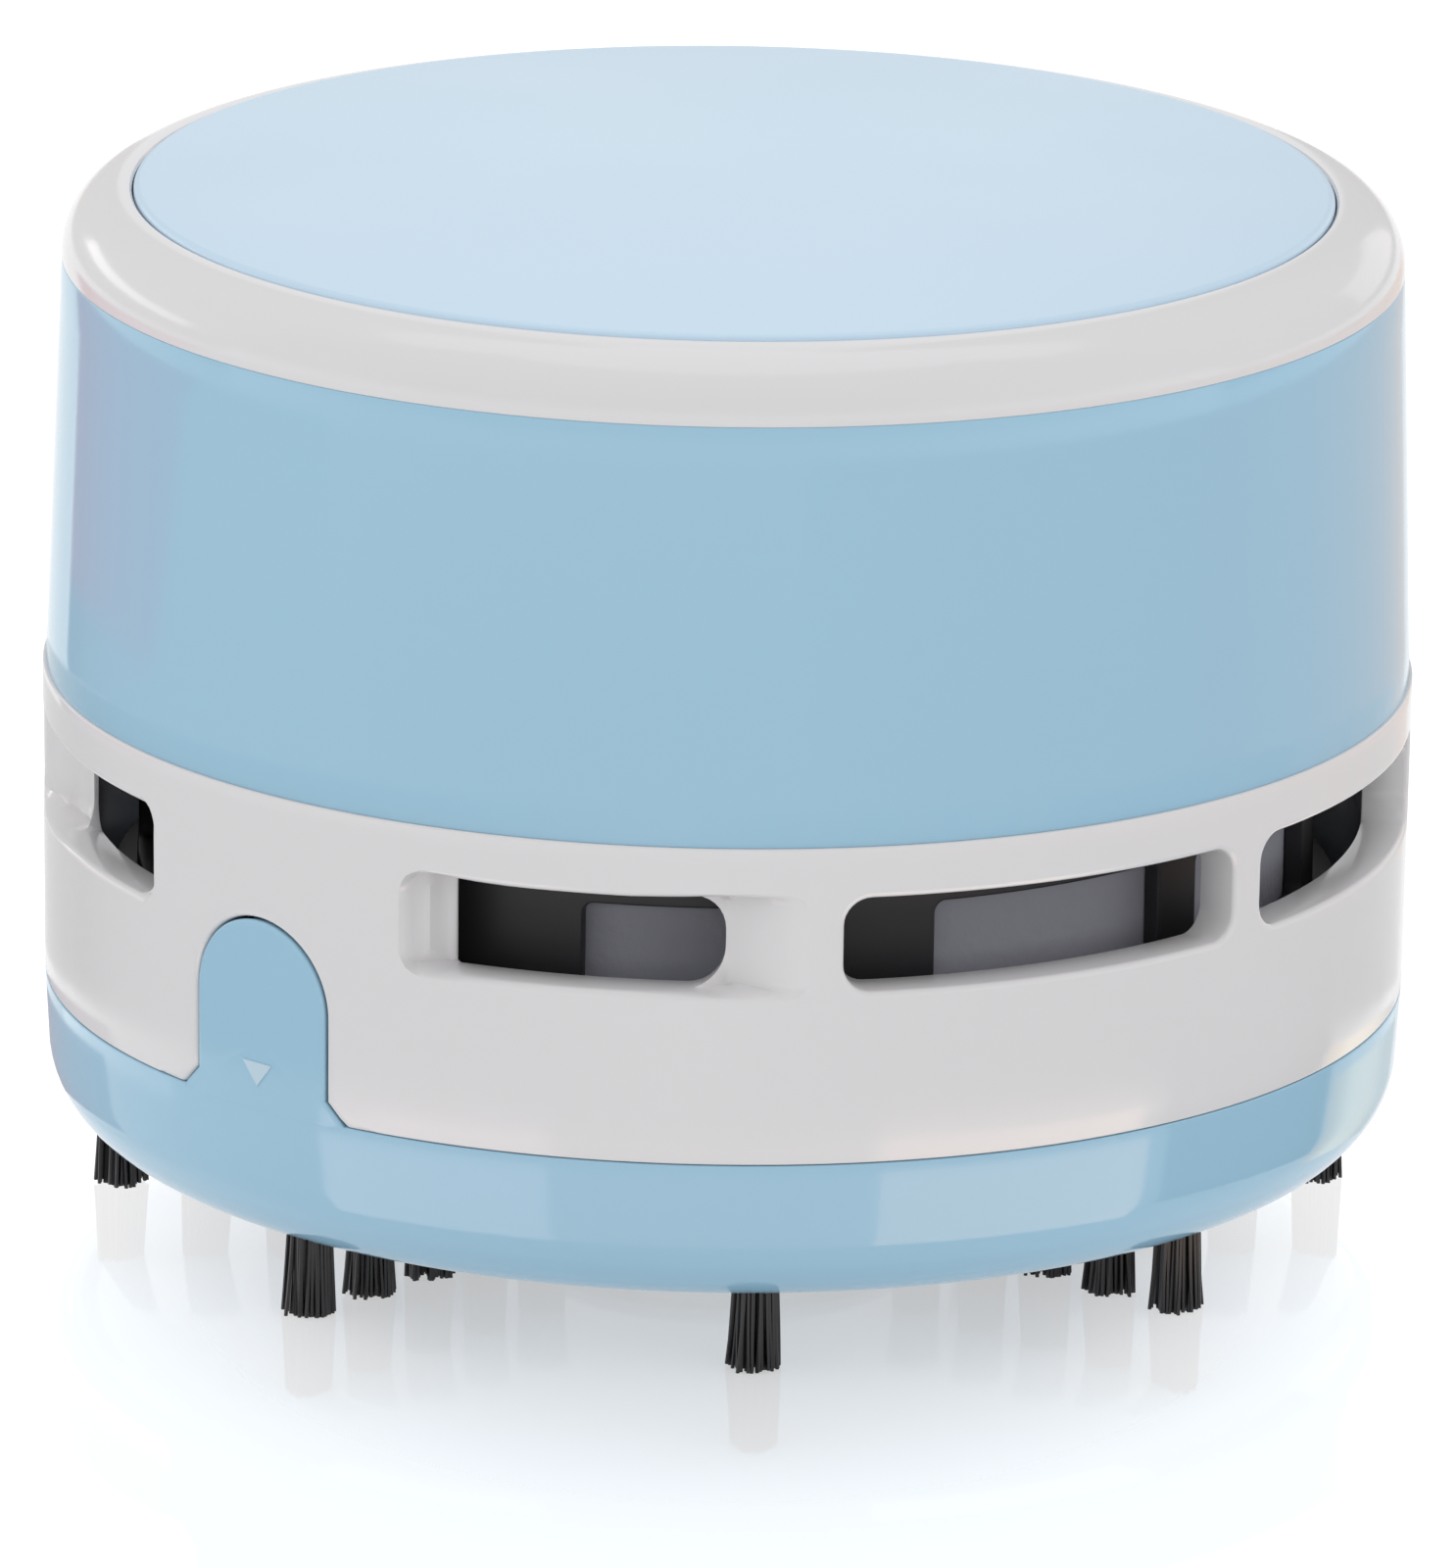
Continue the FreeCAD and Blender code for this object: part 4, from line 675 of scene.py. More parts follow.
frosted_blue = finish("frosted blue plastic", (0.480, 0.620, 0.720), 0.45, grain=5000, share=0.9,
                      relief=0.2)
for name, bearing in (("front", 0), ("rear", 180)):
    dress(solid(f"tab_arrow_{name}", turned_by([arrow_grid()], bearing)),
          frosted_blue, f"push_tab_{name}", f"push_tab_{name}")
    grids = [tongue_grid()]
    for low, high in LATCH_BLOCKS:
        grids += eased_block(low, high)
    dress(solid(f"release_tab_{name}", turned_by(grids, bearing)),
          body_blue, f"push_tab_{name}", f"push_tab_{name}")


# Upper shell. A tapered sleeve of the same blue ABS, 2 mm thick, with four screw bosses inside, a
# sunk pocket at the rear for the switch, and two ribs behind it that hold the switch's case.
SHELL_FOOT = 34.0
SHELL_TOP = 59.7
SHELL_WALL = 2.0
SHELL_EDGE = 0.06
SHELL_RADIUS = 42.3
SHELL_TAPER = 0.9
POCKET_FLOOR = 40.6
POCKET_CELL = 13.0
POCKET_LOW, POCKET_HIGH = 42.0, 52.0
POCKET_EDGE = 0.3
BOSS_BEARINGS = (70.8, 109.2, 250.8, 289.2)
BOSS_RING = 37.0
BOSS_BORE, BOSS_RADIUS = 1.3, 3.4
BOSS_FOOT, BOSS_TOP = 35.5, 46.5
RIB_LEFTS = (-6.6, 5.2)
RIB_WIDTH = 1.4


def tapered(heights, foot_radius):
    """A radius that falls evenly from the shell's foot to its top."""
    return foot_radius - SHELL_TAPER * (heights - SHELL_FOOT) / (SHELL_TOP - SHELL_FOOT)


def shell_face(heights):
    """The shell's outer radius, both edges rounded a little."""
    return tapered(heights, SHELL_RADIUS) - soft_ends(heights, SHELL_FOOT, SHELL_TOP, SHELL_EDGE)


def shell_bore(heights):
    return tapered(heights, SHELL_RADIUS - SHELL_WALL)


def pocket_floor(bearings):
    """The flat floor of the pocket at y = 40.6, as a radius at each bearing."""
    return POCKET_FLOOR / np.cos(np.radians(bearings - 180))


shell_low = end_heights(SHELL_FOOT, POCKET_LOW, SHELL_EDGE, 4)
shell_high = SHELL_TOP + POCKET_HIGH - end_heights(POCKET_HIGH, SHELL_TOP, SHELL_EDGE, 4)[::-1]
shell_middle = np.linspace(POCKET_LOW, POCKET_HIGH, SIDE_COUNTS[1])
shell_heights = np.concatenate([shell_low[:-1], shell_middle, shell_high[1:]])
around = np.linspace(180 + POCKET_CELL, 540 - POCKET_CELL, 225)
behind = np.linspace(180 - POCKET_CELL, 180 + POCKET_CELL, SIDE_COUNTS[0])
shell_grids = [sheet_of(around, shell_heights, shell_face(shell_heights)),
               sheet_of(around, shell_heights, shell_bore(shell_heights))]
for heights in (shell_low, shell_high):
    shell_grids.append(sheet_of(behind, heights, shell_face(heights)))
    shell_grids.append(sheet_of(behind, heights, shell_bore(heights)))
for along in (around, behind):
    for height in (SHELL_FOOT, SHELL_TOP):
        ends = np.array([[shell_face(height)], [shell_bore(height)]])
        shell_grids.append(on_rings(along[None], ends, np.array([[height]])))


pocket_loop = hole_in(180 - 7.3, 180 + 7.3, low=44.0, high=50.0, corner=0.8)
stem_loop = hole_in(180 - 4.4, 180 + 4.4, low=45.8, high=48.2, corner=0.4)
border = plain_box(180 - POCKET_CELL, 180 + POCKET_CELL, POCKET_LOW, POCKET_HIGH)
rows = up_to(shell_face, border, pocket_loop(POCKET_EDGE), (0, 0.5, 0.85))
rows += over_edge(shell_face, pocket_loop, POCKET_EDGE)
for loop in between(pocket_loop(0), stem_loop(0), (0, 0.3, 1)):
    rows.append((loop, pocket_floor(loop[:, 0])))
rows += up_to(shell_bore, border, stem_loop(0), (1, 0.5, 0))
shell_grids.append(laid(rows))
boss = ring_grid([(BOSS_BORE, BOSS_FOOT), (BOSS_RADIUS, BOSS_FOOT, 0.15), (BOSS_RADIUS, BOSS_TOP, 0.2),
                  (BOSS_BORE, BOSS_TOP)], columns=32, steps=3)
for bearing in BOSS_BEARINGS:
    turn = math.radians(bearing)
    shell_grids.append(boss + (BOSS_RING * math.sin(turn), -BOSS_RING * math.cos(turn), 0))


def rib(left, right, back, front, low, high, edge=0.2):
    """An upright flat rib with eased ends, from its back face to one that lies in the wall."""
    half = (right - left) / 2
    steps = [(half, low), (edge, low), (0, low + edge), (0, high - edge), (edge, high), (half, high)]
    return np.array([[(left + s, back + s, z), (right - s, back + s, z), (right - s, front - s, z),
                      (left + s, front - s, z), (left + s, back + s, z)] for s, z in steps])


for left in RIB_LEFTS:
    shell_grids.append(rib(left, left + RIB_WIDTH, back=35.0, front=40.3, low=44.4, high=49.6))
dress(solid("upper_shell_moulding", shell_grids), body_blue, "housing", "upper_shell")


# Crown. A white ring rolled over the shell's rim, with a skirt inside it and a ledge for the lid.
CROWN_TOP = 63.9
CROWN_INNER = 37.1
CROWN_OUTER = 41.4
CROWN_MIDDLE = 59.9
LEDGE_TOP, LEDGE_UNDER = 61.9, 60.4
LEDGE_BORE = 36.0
SKIRT_OUTER, SKIRT_BORE = 39.4, 37.8
SKIRT_FOOT = 56.0
crown = level_arc((CROWN_INNER, CROWN_TOP), (CROWN_OUTER, SHELL_TOP), CROWN_MIDDLE, 16)
dress(turned("top_ring_moulding", [
    (LEDGE_BORE, LEDGE_TOP), (CROWN_INNER, LEDGE_TOP), (CROWN_INNER, CROWN_TOP - 0.15),
    (CROWN_INNER + 0.15, CROWN_TOP), *crown[2:-1], (CROWN_OUTER, SHELL_TOP + 0.05),
    (CROWN_OUTER - 0.05, SHELL_TOP), (SKIRT_OUTER, SHELL_TOP), (SKIRT_OUTER, SKIRT_FOOT, 0.3),
    (SKIRT_BORE, SKIRT_FOOT, 0.3), (SKIRT_BORE, LEDGE_UNDER), (LEDGE_BORE, LEDGE_UNDER),
], columns=288), white_gloss, "housing", "top_ring")


# Battery lid. A flat pale blue disc in satin plastic that drops into the crown, with a locating
# rim underneath.
lid_pale = finish("pale blue satin plastic", (0.530, 0.690, 0.825), 0.32, uneven=0.05, grain=4000,
                  share=0.6, relief=0.06)
LID_RADIUS = 37.0
LID_UNDER, LID_TOP = 62.0, 64.2
LID_RIM_BORE, LID_RIM_OUTER = 34.3, 35.8
LID_RIM_FOOT = 60.3
dress(turned("battery_lid_disc", [
    (0, LID_UNDER), (LID_RIM_BORE, LID_UNDER), (LID_RIM_BORE, LID_RIM_FOOT, 0.3),
    (LID_RIM_OUTER, LID_RIM_FOOT, 0.3), (LID_RIM_OUTER, LID_UNDER), (LID_RADIUS, LID_UNDER, 0.15),
    (LID_RADIUS, LID_TOP, 0.45), (0, LID_TOP),
], columns=288), lid_pale, "lid", "battery_lid")


# Filter cage and its cloth. The cage is black ABS with eight windows that show grey through the
# air slots. The cloth is a felted grey sleeve inside it.
cage_black = finish("satin black plastic", (0.020, 0.020, 0.023), 0.5, grain=1500, share=0.4)
cloth_grey = finish("grey filter felt", (0.300, 0.303, 0.340), 0.9, grain=1200, share=0.8,
                    relief=0.4, depth=0.0003, specular=0.2, shade=(0.320, 0.325, 0.370))
CAGE_OUTER = 36.6
CAGE_BORE = 35.4
CAGE_WINDOWS = [(28.1, 50.1), (61.9, 87.6), (93.2, 118.7), (129.9, 151.9)]
CAGE_CELLS = [(20.0, 56.0), (56.0, 90.0), (90.0, 123.5), (123.5, 160.0)]
WINDOW_FLOOR, WINDOW_TOP = 21.7, 28.55
WINDOW_CORNER = 0.8
CAGE_CELL_FLOOR, CAGE_CELL_TOP = 21.0, 29.6
CAGE_FOOT, ROOF_UNDER, ROOF_TOP = 15.0, 29.9, 30.8
ROOF_BORE = 31.0
FLANGE_OUTER, FLANGE_TOP, FLANGE_UNDER = 38.0, 20.3, 19.1
CAGE_SKIRT = 36.9
CLOTH_BORE, CLOTH_GAP = 34.6, 0.02
CAGE_EDGE = 0.15


def cage_rest(along):
    """The cage above and below its windows at those bearings: roof, flange, skirt and bore."""
    above = eased([(CAGE_OUTER, CAGE_CELL_TOP), (CAGE_OUTER, ROOF_TOP, 0.5), (ROOF_BORE, ROOF_TOP, 0.2),
                   (ROOF_BORE, ROOF_UNDER, 0.2), (CAGE_BORE, ROOF_UNDER), (CAGE_BORE, CAGE_CELL_TOP)])
    below = np.array([(CAGE_OUTER, CAGE_CELL_FLOOR), (CAGE_OUTER, FLANGE_TOP),
                      (FLANGE_OUTER, FLANGE_TOP), (FLANGE_OUTER, FLANGE_UNDER),
                      (CAGE_SKIRT, FLANGE_UNDER), (CAGE_SKIRT, CAGE_FOOT), (CAGE_BORE, CAGE_FOOT),
                      (CAGE_BORE, CAGE_CELL_FLOOR)])
    return [on_rings(along[None], line[:, :1], line[:, 1:]) for line in (above, below)]


cage_grids = []
for half_turn in (0, 180):
    for cell, window in zip(CAGE_CELLS, CAGE_WINDOWS):
        box = (*np.add(cell, half_turn), CAGE_CELL_FLOOR, CAGE_CELL_TOP)
        hole = hole_in(*np.add(window, half_turn), WINDOW_FLOOR, WINDOW_TOP, WINDOW_CORNER)
        cage_grids.append(through_cell(box, hole, lambda heights: CAGE_OUTER, CAGE_BORE, CAGE_EDGE))
        cage_grids += cage_rest(np.linspace(*cell, SIDE_COUNTS[0]) + half_turn)
    plain = np.linspace(CAGE_CELLS[-1][1], 180 + CAGE_CELLS[0][0], SIDE_COUNTS[0]) + half_turn
    sides = np.linspace(CAGE_CELL_FLOOR, CAGE_CELL_TOP, SIDE_COUNTS[1])
    cage_grids += [sheet_of(plain, sides, radius) for radius in (CAGE_OUTER, CAGE_BORE)]
    cage_grids += cage_rest(plain)
dress(solid("filter_cage_moulding", cage_grids), cage_black, "filter", "filter_cage")

dress(turned("filter_cloth_sleeve", [
    (CLOTH_BORE, CAGE_FOOT), (CAGE_BORE - CLOTH_GAP, CAGE_FOOT), (CAGE_BORE - CLOTH_GAP, ROOF_UNDER),
    (CLOTH_BORE, ROOF_UNDER),
]), cloth_grey, "filter", "filter_cloth")


# Inner pieces that keep their solid's shape: motor, motor plate, cradle, switch case and slider,
# contacts, screws and leads. Each is a copy of the solid with its points merged, its flats joined
# into whole faces, and its edges broken by a small bevel.
def eased_copies(material, body, slot, *nodes, bevel=0.12, sharp=32):
    """The CAD nodes' own meshes as new pieces with smooth round faces and broken edges."""
    for node in nodes:
        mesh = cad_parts[node].data.copy()
        mesh.name = node + "_eased"
        piece = closed(node + "_eased", mesh, sharp, join=0.6)
        if bevel:
            edge = piece.modifiers.new("broken edges", "BEVEL")
            edge.width = bevel / 1000
            edge.segments = 2
            edge.limit_method = "ANGLE"
            edge.angle_limit = math.radians(40)
            edge.use_clamp_overlap = True
            edge.harden_normals = True
        dress(piece, material, body, node)


chassis_black = finish("satin black moulding", (0.040, 0.040, 0.043), 0.42, grain=1500, share=0.5)
steel = finish("drawn steel", (0.62, 0.62, 0.63), 0.42, uneven=0.1, metallic=1.0, grain=3000,
               share=0.6)
nickel = finish("nickel plate", (0.72, 0.69, 0.63), 0.22, uneven=0.08, metallic=1.0)
magnet_grey = finish("ferrite magnet", (0.05, 0.05, 0.055), 0.55, grain=2500, share=0.8)
copper = finish("enamelled copper", (0.72, 0.30, 0.14), 0.3, uneven=0.08, metallic=1.0, grain=4000)
bronze = finish("sintered bronze", (0.55, 0.38, 0.20), 0.45, metallic=1.0, grain=5000, share=0.9)
screw_zinc = finish("bright zinc screw", (0.66, 0.67, 0.70), 0.25, uneven=0.08, metallic=1.0)
wire_red = finish("red lead jacket", (0.52, 0.02, 0.02), 0.4, grain=1500)
wire_black = finish("black lead jacket", (0.02, 0.02, 0.022), 0.4, grain=1500)
switch_white = finish("white switch plastic", (0.70, 0.69, 0.68), 0.3, grain=2500, share=0.4)
eased_copies(chassis_black, "housing", "chassis_black", "motor_plate", "battery_cradle", "switch_case",
             "motor_end_cap")
eased_copies(steel, "housing", "motor_steel", "motor_can", bevel=0.3)
eased_copies(steel, "fan", "motor_steel", "motor_shaft", "armature_core", bevel=0.05)
eased_copies(nickel, "housing", "contact_nickel", "contact_bridge", "contact_positive",
             "contact_negative", "motor_terminals", "switch_terminals", bevel=0.05)
eased_copies(copper, "fan", "copper", "armature_windings", "commutator", bevel=0)
eased_copies(copper, "housing", "copper", "motor_brushes", bevel=0)
eased_copies(magnet_grey, "housing", "magnet_black", "motor_magnets", bevel=0.1)
eased_copies(bronze, "housing", "bush_bronze", "motor_bush", bevel=0.05)
eased_copies(screw_zinc, "housing", "screw_steel", "chassis_screws", bevel=0.08)
eased_copies(wire_red, "housing", "wire_red", "wire_positive", "wire_switched", bevel=0, sharp=50)
eased_copies(wire_black, "housing", "wire_black", "wire_negative", bevel=0, sharp=50)


# Battery cells. Two AA cells head to tail: a shrunk jacket that rolls over both ends, a bare steel
# end face, and the nub on its raised washer.
CELL_X = 18.2
CELL_AXIS = 45.0
CELL_RADIUS = 7.25
CELL_SHOULDER = 25.6
CELL_TAIL = CELL_SHOULDER - 49.5
NUB_FOOT = CELL_SHOULDER - 0.3
NUB_TOP = CELL_SHOULDER + 1.0
WASHER_TOP = CELL_SHOULDER - 0.05
cell_jacket = finish("green cell jacket", (0.030, 0.120, 0.070), 0.28, uneven=0.05, grain=1800,
                     share=0.3)


def along_y(corners, x, side, columns=64, steps=4):
    """A grid turned about an axis along Y at x and the cells' height, from (radius, distance along
    the axis towards side, rounding) corners."""
    line = eased(corners, steps)
    turn = np.linspace(0, 2 * math.pi, columns + 1)[None]
    radius, reach = line[:, :1], line[:, 1:]
    across, up = radius * np.sin(turn), radius * np.cos(turn)
    reach = np.broadcast_to(reach, across.shape)
    return np.stack([x + across * side, side * reach, CELL_AXIS + up], -1)


jacket = [(0, CELL_TAIL + 0.25), (4.9, CELL_TAIL + 0.25), (5.2, CELL_TAIL, 0.1),
          (CELL_RADIUS, CELL_TAIL, 0.5), (CELL_RADIUS, CELL_SHOULDER, 0.7), (5.4, CELL_SHOULDER, 0.1),
          (5.1, NUB_FOOT), (0, NUB_FOOT)]
nub = [(0, NUB_FOOT), (4.9, NUB_FOOT), (4.7, WASHER_TOP, 0.1), (2.75, WASHER_TOP, 0.3),
       (2.75, NUB_TOP, 0.35), (0, NUB_TOP)]
for name, side in (("left", -1), ("right", 1)):
    dress(solid(f"cell_jacket_{name}", [along_y(jacket, side * CELL_X, side)]),
          cell_jacket, "housing", f"battery_cell_{name}")
    dress(solid(f"cell_nub_{name}", [along_y(nub, side * CELL_X, side)]),
          nickel, "housing", f"battery_cell_{name}")


# Cell springs. Tapered coils of plated spring wire, wide at the leaf and narrow at the cell.
COIL_WIDE, COIL_NARROW = 2.85, 1.9
COIL_LEAF, COIL_CELL = 26.25, 24.25
COIL_TURNS = 3.2
COIL_WIRE = 0.3


def coil(x, side, steps=120, sides=10):
    """A wire carried along a tapered helix. The middle line's radius falls evenly from wide to
    narrow while its reach goes from the leaf to the cell."""
    share = np.linspace(0, 1, steps)
    turn = 2 * math.pi * COIL_TURNS * share
    radius = COIL_WIDE - (COIL_WIDE - COIL_NARROW) * share
    reach = COIL_LEAF - (COIL_LEAF - COIL_CELL) * share
    middle = np.stack([x + radius * np.cos(turn), side * reach, CELL_AXIS + radius * np.sin(turn)], -1)
    outwards = np.stack([np.cos(turn), np.zeros(steps), np.sin(turn)], -1)
    along = np.gradient(middle, axis=0)
    along /= np.linalg.norm(along, axis=1, keepdims=True)
    upwards = np.cross(along, outwards)
    ring = np.linspace(0, 2 * math.pi, sides + 1)
    thick = COIL_WIRE * np.ones(steps)
    thick[[0, -1]] = 0
    cos, sin = np.cos(ring)[None, :, None], np.sin(ring)[None, :, None]
    return middle[:, None] + thick[:, None, None] * (cos * outwards[:, None] + sin * upwards[:, None])


dress(solid("cell_springs", [coil(-CELL_X, 1), coil(CELL_X, -1)], sharp=70),
      nickel, "housing", "contact_springs")


# Fan wheel. A white nylon disc and hub with ten straight leaning blades beneath, pressed on the
# motor's shaft.
fan_white = finish("white nylon", (0.62, 0.62, 0.60), 0.4, grain=1500, share=0.5)
FAN_FOOT, FAN_TOP = 22.2, 29.8
DISC_UNDER = 28.6
DISC_RADIUS, HUB_RADIUS, SHAFT_RADIUS = 25.5, 3.6, 1.0
BLADES = 10
BLADE_START = 8.5
BLADE_LENGTH, BLADE_THICK = 17.2, 1.2
BLADE_LEAN = 34.0
wheel_grids = [ring_grid([(SHAFT_RADIUS, FAN_FOOT, 0.1), (HUB_RADIUS, FAN_FOOT, 0.3),
                          (HUB_RADIUS, DISC_UNDER, 0.5), (DISC_RADIUS, DISC_UNDER, 0.2),
                          (DISC_RADIUS, FAN_TOP, 0.2), (SHAFT_RADIUS, FAN_TOP, 0.1)], columns=128)]
plank = eased_block((0, 0, FAN_FOOT), (BLADE_LENGTH, BLADE_THICK, DISC_UNDER + 0.1), 0.25)
blade = [grid + (BLADE_START, 0, 0) for grid in turned_by(plank, BLADE_LEAN)]
for place in range(BLADES):
    wheel_grids += turned_by(blade, 360 / BLADES * place)
dress(solid("fan_wheel", wheel_grids), fan_white, "fan", "impeller")


# Switch knob. A white slider button at the rear with six ribs for the thumb, its stem through
# the pocket's floor.
RIBS = 6
RIB_STEP = 0.9
FIRST_RIB = -4.25
RIB_HALF = 0.25
knob_grids = eased_block((-4.5, 40.8, 44.6), (0.5, 41.95, 49.4), 0.3)
knob_grids += eased_block((-3.0, 38.4, 46.0), (-1.0, 41.2, 48.0), 0.1)
for ridge in range(RIBS):
    middle = FIRST_RIB + RIB_STEP * ridge
    knob_grids += eased_block((middle - RIB_HALF, 41.5, 44.7), (middle + RIB_HALF, 42.4, 49.3), 0.2)
dress(solid("switch_knob_ribbed", knob_grids), switch_white, "switch", "switch_knob")
eased_copies(switch_white, "switch", "switch_white", "switch_slider", bevel=0.08)


# Studio. A pale gloss table top with an oval of painted shade over the part's real shadow, a faint
# glow of its own that lights the part from below, a faint mirror of the foot, a white world behind
# it, and large soft lamps above and at both sides, of which gloss shows only the upper one.
def seen_rays(tree):
    """1 for the camera's rays and those off a mirror or through glass, and 0 for the rest."""
    path = added(tree, "ShaderNodeLightPath").outputs
    total = path["Is Camera Ray"]
    for kind in ("Is Glossy Ray", "Is Transmission Ray"):
        total = added(tree, "ShaderNodeMath", {0: total, 1: path[kind]}, operation="MAXIMUM").outputs[0]
    return total


def blended(tree, share, first, second):
    """A value between the first and the second, by a share from another node."""
    return added(tree, "ShaderNodeMix", {"Factor": share, "A": first, "B": second}).outputs["Result"]


def one_sided(tree, shader):
    """Puts out that shader on the front of a face and nothing on its back, clear from below."""
    clear = added(tree, "ShaderNodeBsdfTransparent").outputs["BSDF"]
    way = added(tree, "ShaderNodeNewGeometry").outputs["Backfacing"]
    either = added(tree, "ShaderNodeMixShader", {"Fac": way, 1: shader, 2: clear}).outputs["Shader"]
    plug(tree, tree.nodes["Material Output"], {"Surface": either})


world = bpy.data.worlds.new("studio")
bpy.context.scene.world = world
world.use_nodes = True
tree = world.node_tree
plug(tree, tree.nodes["Background"], {"Color": (0.985, 0.99, 1.0, 1),
                                      "Strength": blended(tree, seen_rays(tree), 0.82, 1.02)})

SPAN = 3000
table_mesh = grid_mesh("table_top", [[[(x, y, 0) for x in (-SPAN, SPAN)] for y in (-SPAN, SPAN)]])
table_top = placed("table_top", table_mesh)
# Place, turn, narrowing and reach of the oval of painted shade under the part.
SHADE_PLACE = (0.0120, -0.0135, 0)
SHADE_TURN = math.radians(41.6)
SHADE_NARROW = 0.74
SHADE_FULL, SHADE_END = 0.024, 0.0605
table_white, tree = painted("white table top")
spot = added(tree, "ShaderNodeTexCoord").outputs["Object"]
# The oval, stretched towards the camera, in which the top's glow is turned down as painted shade.
painted_shade_spot = added(tree, "ShaderNodeMapping", {
    "Vector": spot, "Location": SHADE_PLACE, "Rotation": (0, 0, SHADE_TURN),
    "Scale": (SHADE_NARROW, 1, 1)}, vector_type="TEXTURE")
far = added(tree, "ShaderNodeVectorMath", {0: painted_shade_spot.outputs["Vector"]}, operation="LENGTH")
painted_shade_fade = added(tree, "ShaderNodeMapRange", {
    "Value": far.outputs["Value"], "From Min": SHADE_FULL, "From Max": SHADE_END,
}, interpolation_type="SMOOTHSTEP").outputs["Result"]
# To the rays that light the part the top is plain white with a faint glow of its own, which lights
# the part from below as a lamp would. The camera and mirrors see a grey oval that fades outwards into
# an even white glow: near the part the glow is turned down, a painted shade laid over the real shadow
# that falls on the top's grey.
seen = seen_rays(tree)
albedo = blended(tree, seen, 0.95, blended(tree, painted_shade_fade, 0.34, 0.0))
grey = added(tree, "ShaderNodeCombineColor", {"Red": albedo, "Green": albedo, "Blue": albedo})
top_shader = plug(tree, tree.nodes["Principled BSDF"], {
    "Base Color": grey.outputs["Color"], "Roughness": 0.04, "Specular IOR Level": 0.5,
    "Coat Weight": 0.6, "Coat Roughness": 0.04, "Emission Color": (0.995, 0.995, 1.0, 1),
    "Emission Strength": blended(tree, seen, 0.12, blended(tree, painted_shade_fade, 0.57, 1.0))})
one_sided(tree, top_shader.outputs["BSDF"])
table_mesh.materials.append(table_white)


def soft_lamp(name, place, aim, size, power, mirrored):
    """An area lamp at a place in metres that looks at its aim."""
    light = bpy.data.lights.new(name, "AREA")
    light.shape = "RECTANGLE"
    light.size, light.size_y = size
    light.energy = power
    lamp = placed(name, light)
    lamp.location = place
    lamp.rotation_mode = "QUATERNION"
    lamp.rotation_quaternion = (Vector(aim) - Vector(place)).to_track_quat("-Z", "Y")
    lamp.visible_glossy = mirrored


soft_lamp("overhead lamp", (0.0, 0.0, 1.0), (0, 0, 0), (1.2, 1.2), 1.3, mirrored=True)
soft_lamp("left lamp", (-0.7, -0.95, 0.35), (0, 0, 0.03), (0.9, 0.7), 2.7, mirrored=False)
soft_lamp("right lamp", (1.1, 0.1, 0.35), (0, 0, 0.03), (0.9, 0.7), 2.2, mirrored=False)


# Reflectors. Tinted sheets on the table, and some in the air, that only gloss shows: windows on the
# foot, grey steps on the band, a lavender patch on the shell's left and warmer grey on its right, and
# on the crown two bright crescents between dimmer walls.
CAMERA_BEARING = 41.6
WHITE = (1.0, 1.0, 1.0)
ROOM = (0.60, 0.28, 0.15)
BAND_GREYS = (1.0, 0.30, 0.45, 0.70, 1.1, 0.60, 0.10, 0.25, 0.9)


def gloss_card(name, grid, tints, strength):
    """A glowing sheet that only mirrors see. Its tint runs along the columns of the grid through
    the colours given, which stand at even steps."""
    rows, columns = grid.shape[:2]
    mesh = grid_mesh(name, [grid])
    along = np.linspace(0, len(tints) - 1, columns)
    channels = [np.interp(along, np.arange(len(tints)), channel) for channel in zip(*tints)]
    tint = np.stack([*channels, np.ones(columns)], 1)
    paint = mesh.color_attributes.new("tint", "FLOAT_COLOR", "POINT")
    paint.data.foreach_set("color", np.broadcast_to(tint, (rows, columns, 4)).astype("f4").ravel())
    card = placed(name, mesh)
    card.visible_camera = False
    card.visible_diffuse = False
    card.visible_shadow = False
    card.visible_transmission = False
    material, tree = painted(name)
    tree.nodes.remove(tree.nodes["Principled BSDF"])
    tint = added(tree, "ShaderNodeVertexColor", layer_name="tint").outputs["Color"]
    glow = added(tree, "ShaderNodeEmission", {"Color": tint, "Strength": strength})
    one_sided(tree, glow.outputs["Emission"])
    mesh.materials.append(material)


def reflector(name, first, last, near, far, tints, strength=1.0, rise=0.4):
    """A sheet where the wall mirrors the table towards the camera, p = r u(b) + d u(2 b - a), for
    wall bearings b from first to last and d from near to far. r is the wall's radius, u(b) the unit
    vector at bearing b and a the camera's bearing. A pair of bearings is for the far and near edge."""
    wall = np.linspace(np.broadcast_to(first, 2), np.broadcast_to(last, 2), 33).T
    foot = on_rings(wall, np.full((2, 1), WALL_RADIUS), np.full((2, 1), rise))
    away = on_rings(2 * wall - CAMERA_BEARING, np.array([[far], [near]]), np.zeros((2, 1)))
    gloss_card(name, foot + away, tints, strength)


def sky_card(name, first, last, low, high, distance, strength):
    """A sheet at that distance, between two bearings and two elevations, that faces the vacuum."""
    along = np.linspace(first, last, 17)[None]
    rise = np.radians(np.array([[high], [low]]))
    grid = on_rings(along, distance * np.cos(rise), distance * np.sin(rise))
    gloss_card(name, grid, [(1.0, 0.98, 0.95)], strength)


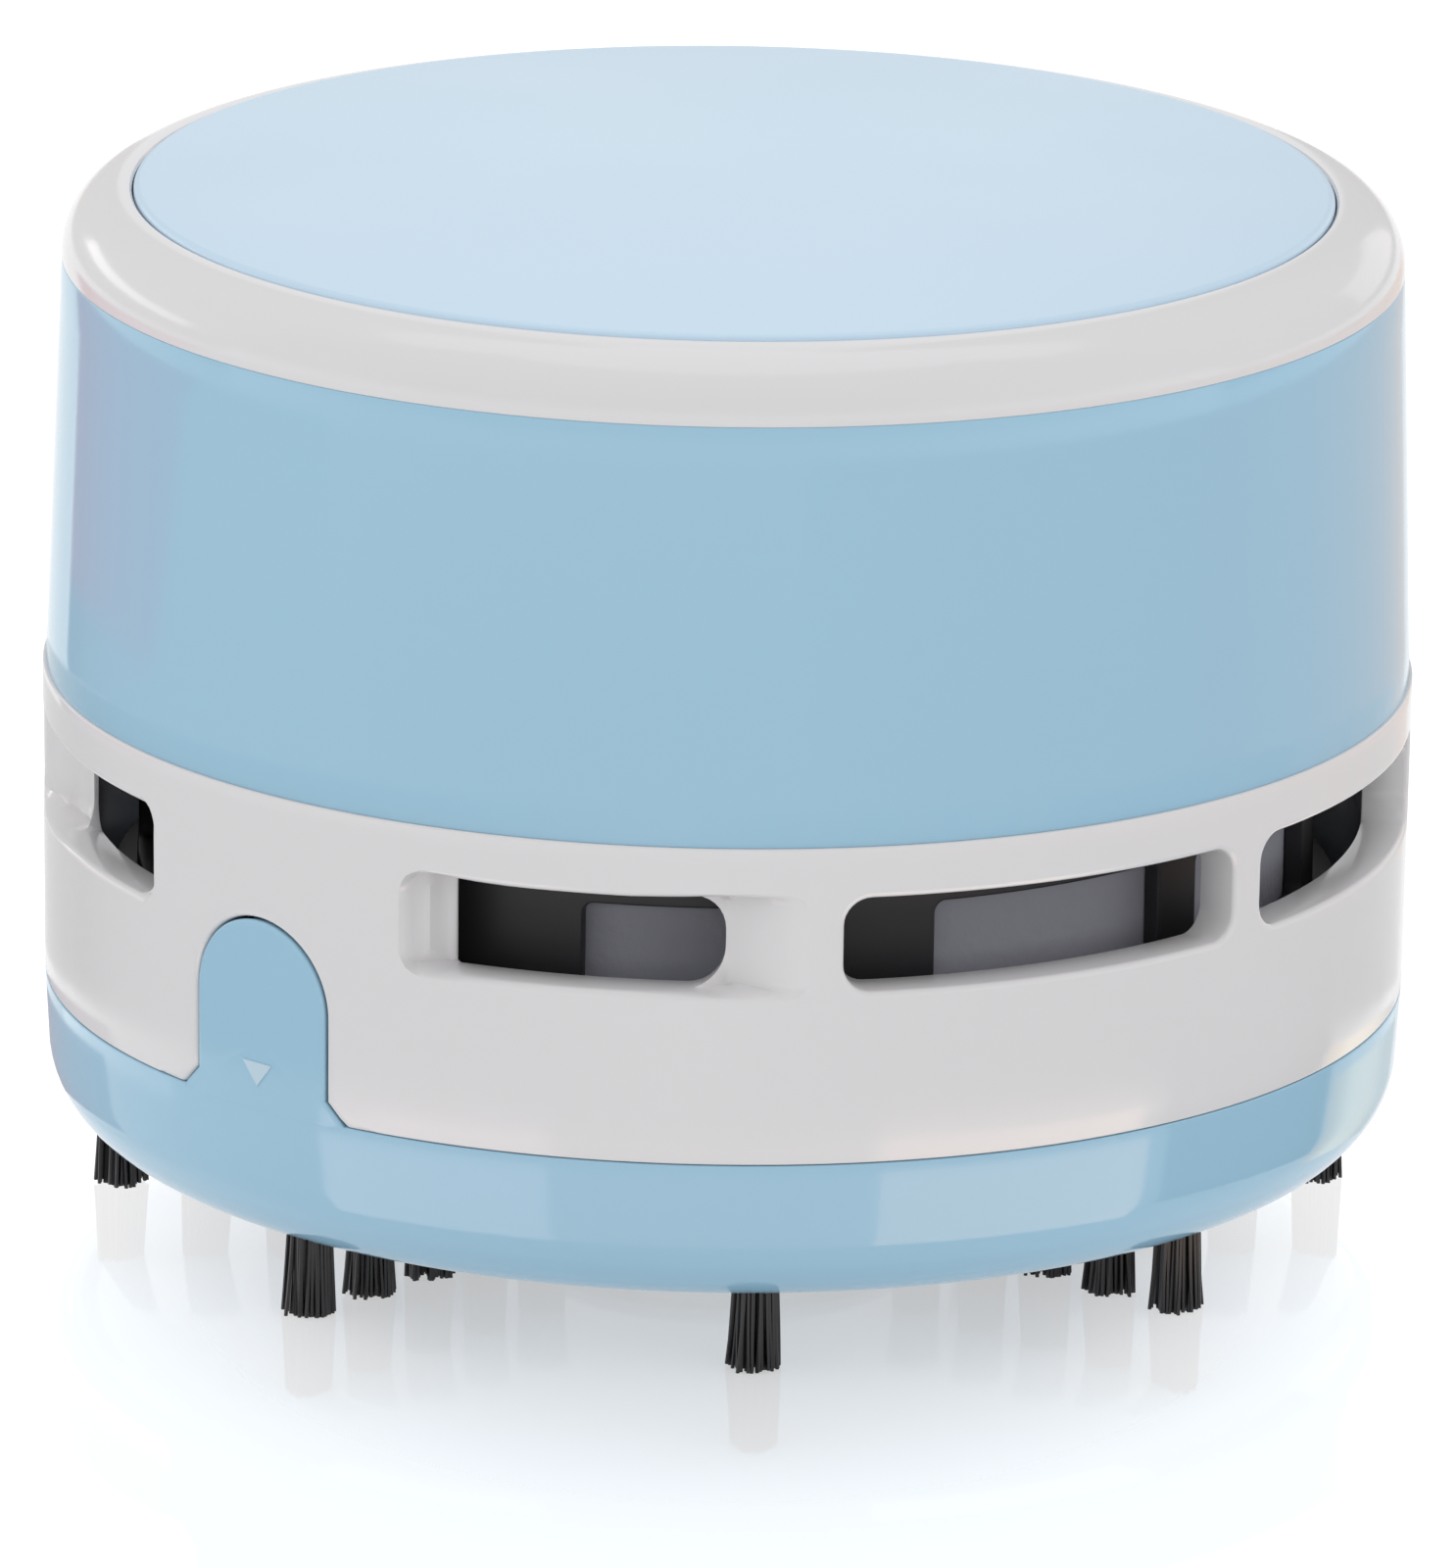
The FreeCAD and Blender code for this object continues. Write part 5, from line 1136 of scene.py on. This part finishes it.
reflector("left floor", -33, 6, 126, 420, [(0.25, 0.25, 0.30), WHITE], rise=0.2)
reflector("lavender patch", -33, (-9, -15), 160, 420, [(0.58, 0.20, 0.26), (0.75, 0.22, 0.30)])
reflector("cool room", 48, 86, 80, 420, [WHITE, ROOM])
reflector("warm room", 86, 124, 80, 420, [ROOM, (0.96, 0.78, 0.68)])
reflector("left corner", -48, -23, 14, 42, [(0.50, 0.45, 0.50)])
reflector("left window", 6, 27, 9, 46, [(1.2, 1.0, 0.98)], 2.4)
reflector("front floor", 27, 55, 9, 46, [(1.1, 1.0, 0.95)], 1.5)
reflector("right window", 55, 80, 9, 46, [(1.2, 0.92, 0.75)], 3.0)
reflector("foot glow", -44, 124, 1, 9, [WHITE], 1.1)
reflector("band floor", -48, 124, 50, 125, [(grey, grey, grey) for grey in BAND_GREYS])
reflector("dark corner", 82, 104.5, 14, 50, [(0.10, 0.10, 0.10)])
reflector("far right window", 105, 124, 9, 42,
          [(1.4, 1.0, 0.55), (2.0, 1.75, 1.3), (1.6, 1.4, 1.1), (1.0, 0.95, 0.85), (0.8, 0.8, 0.75)])
sky_card("left wall", -130, -50, 0, 60, 1000, 0.70)
sky_card("front wall", -50, 130, 8, 70, 1000, 0.55)
sky_card("right wall", 130, 215, 0, 60, 1000, 0.62)
sky_card("left crescent", -106, -62, 10, 26, 900, 2.4)
sky_card("right crescent", 172, 200, 4, 30, 900, 1.2)


# Camera. About a metre away, 41.6 degrees round from the front tab and 16.1 degrees above the
# table, with a hint of roll.
AZIMUTH, ELEVATION, ROLL = math.radians(41.593), math.radians(16.118), math.radians(0.832)
back = Vector((math.sin(AZIMUTH) * math.cos(ELEVATION), -math.cos(AZIMUTH) * math.cos(ELEVATION),
               math.sin(ELEVATION)))
side = Vector((math.cos(AZIMUTH), math.sin(AZIMUTH), 0))
ASIDE, AIM_HEIGHT, DISTANCE = 0.000126, 0.02580, 1.00227
lens = bpy.data.cameras.new("camera")
lens.lens = 369.84
lens.sensor_width = 36
lens.clip_start = 0.05
lens.clip_end = 20
camera = placed("camera", lens)
camera.location = side * ASIDE + Vector((0, 0, AIM_HEIGHT)) + back * DISTANCE
camera.rotation_mode = "QUATERNION"
camera.rotation_quaternion = (-back).to_track_quat("-Z", "Y") @ Quaternion((0, 0, 1), ROLL)
bpy.context.scene.camera = camera
bpy.context.scene.view_settings.view_transform = "Standard"
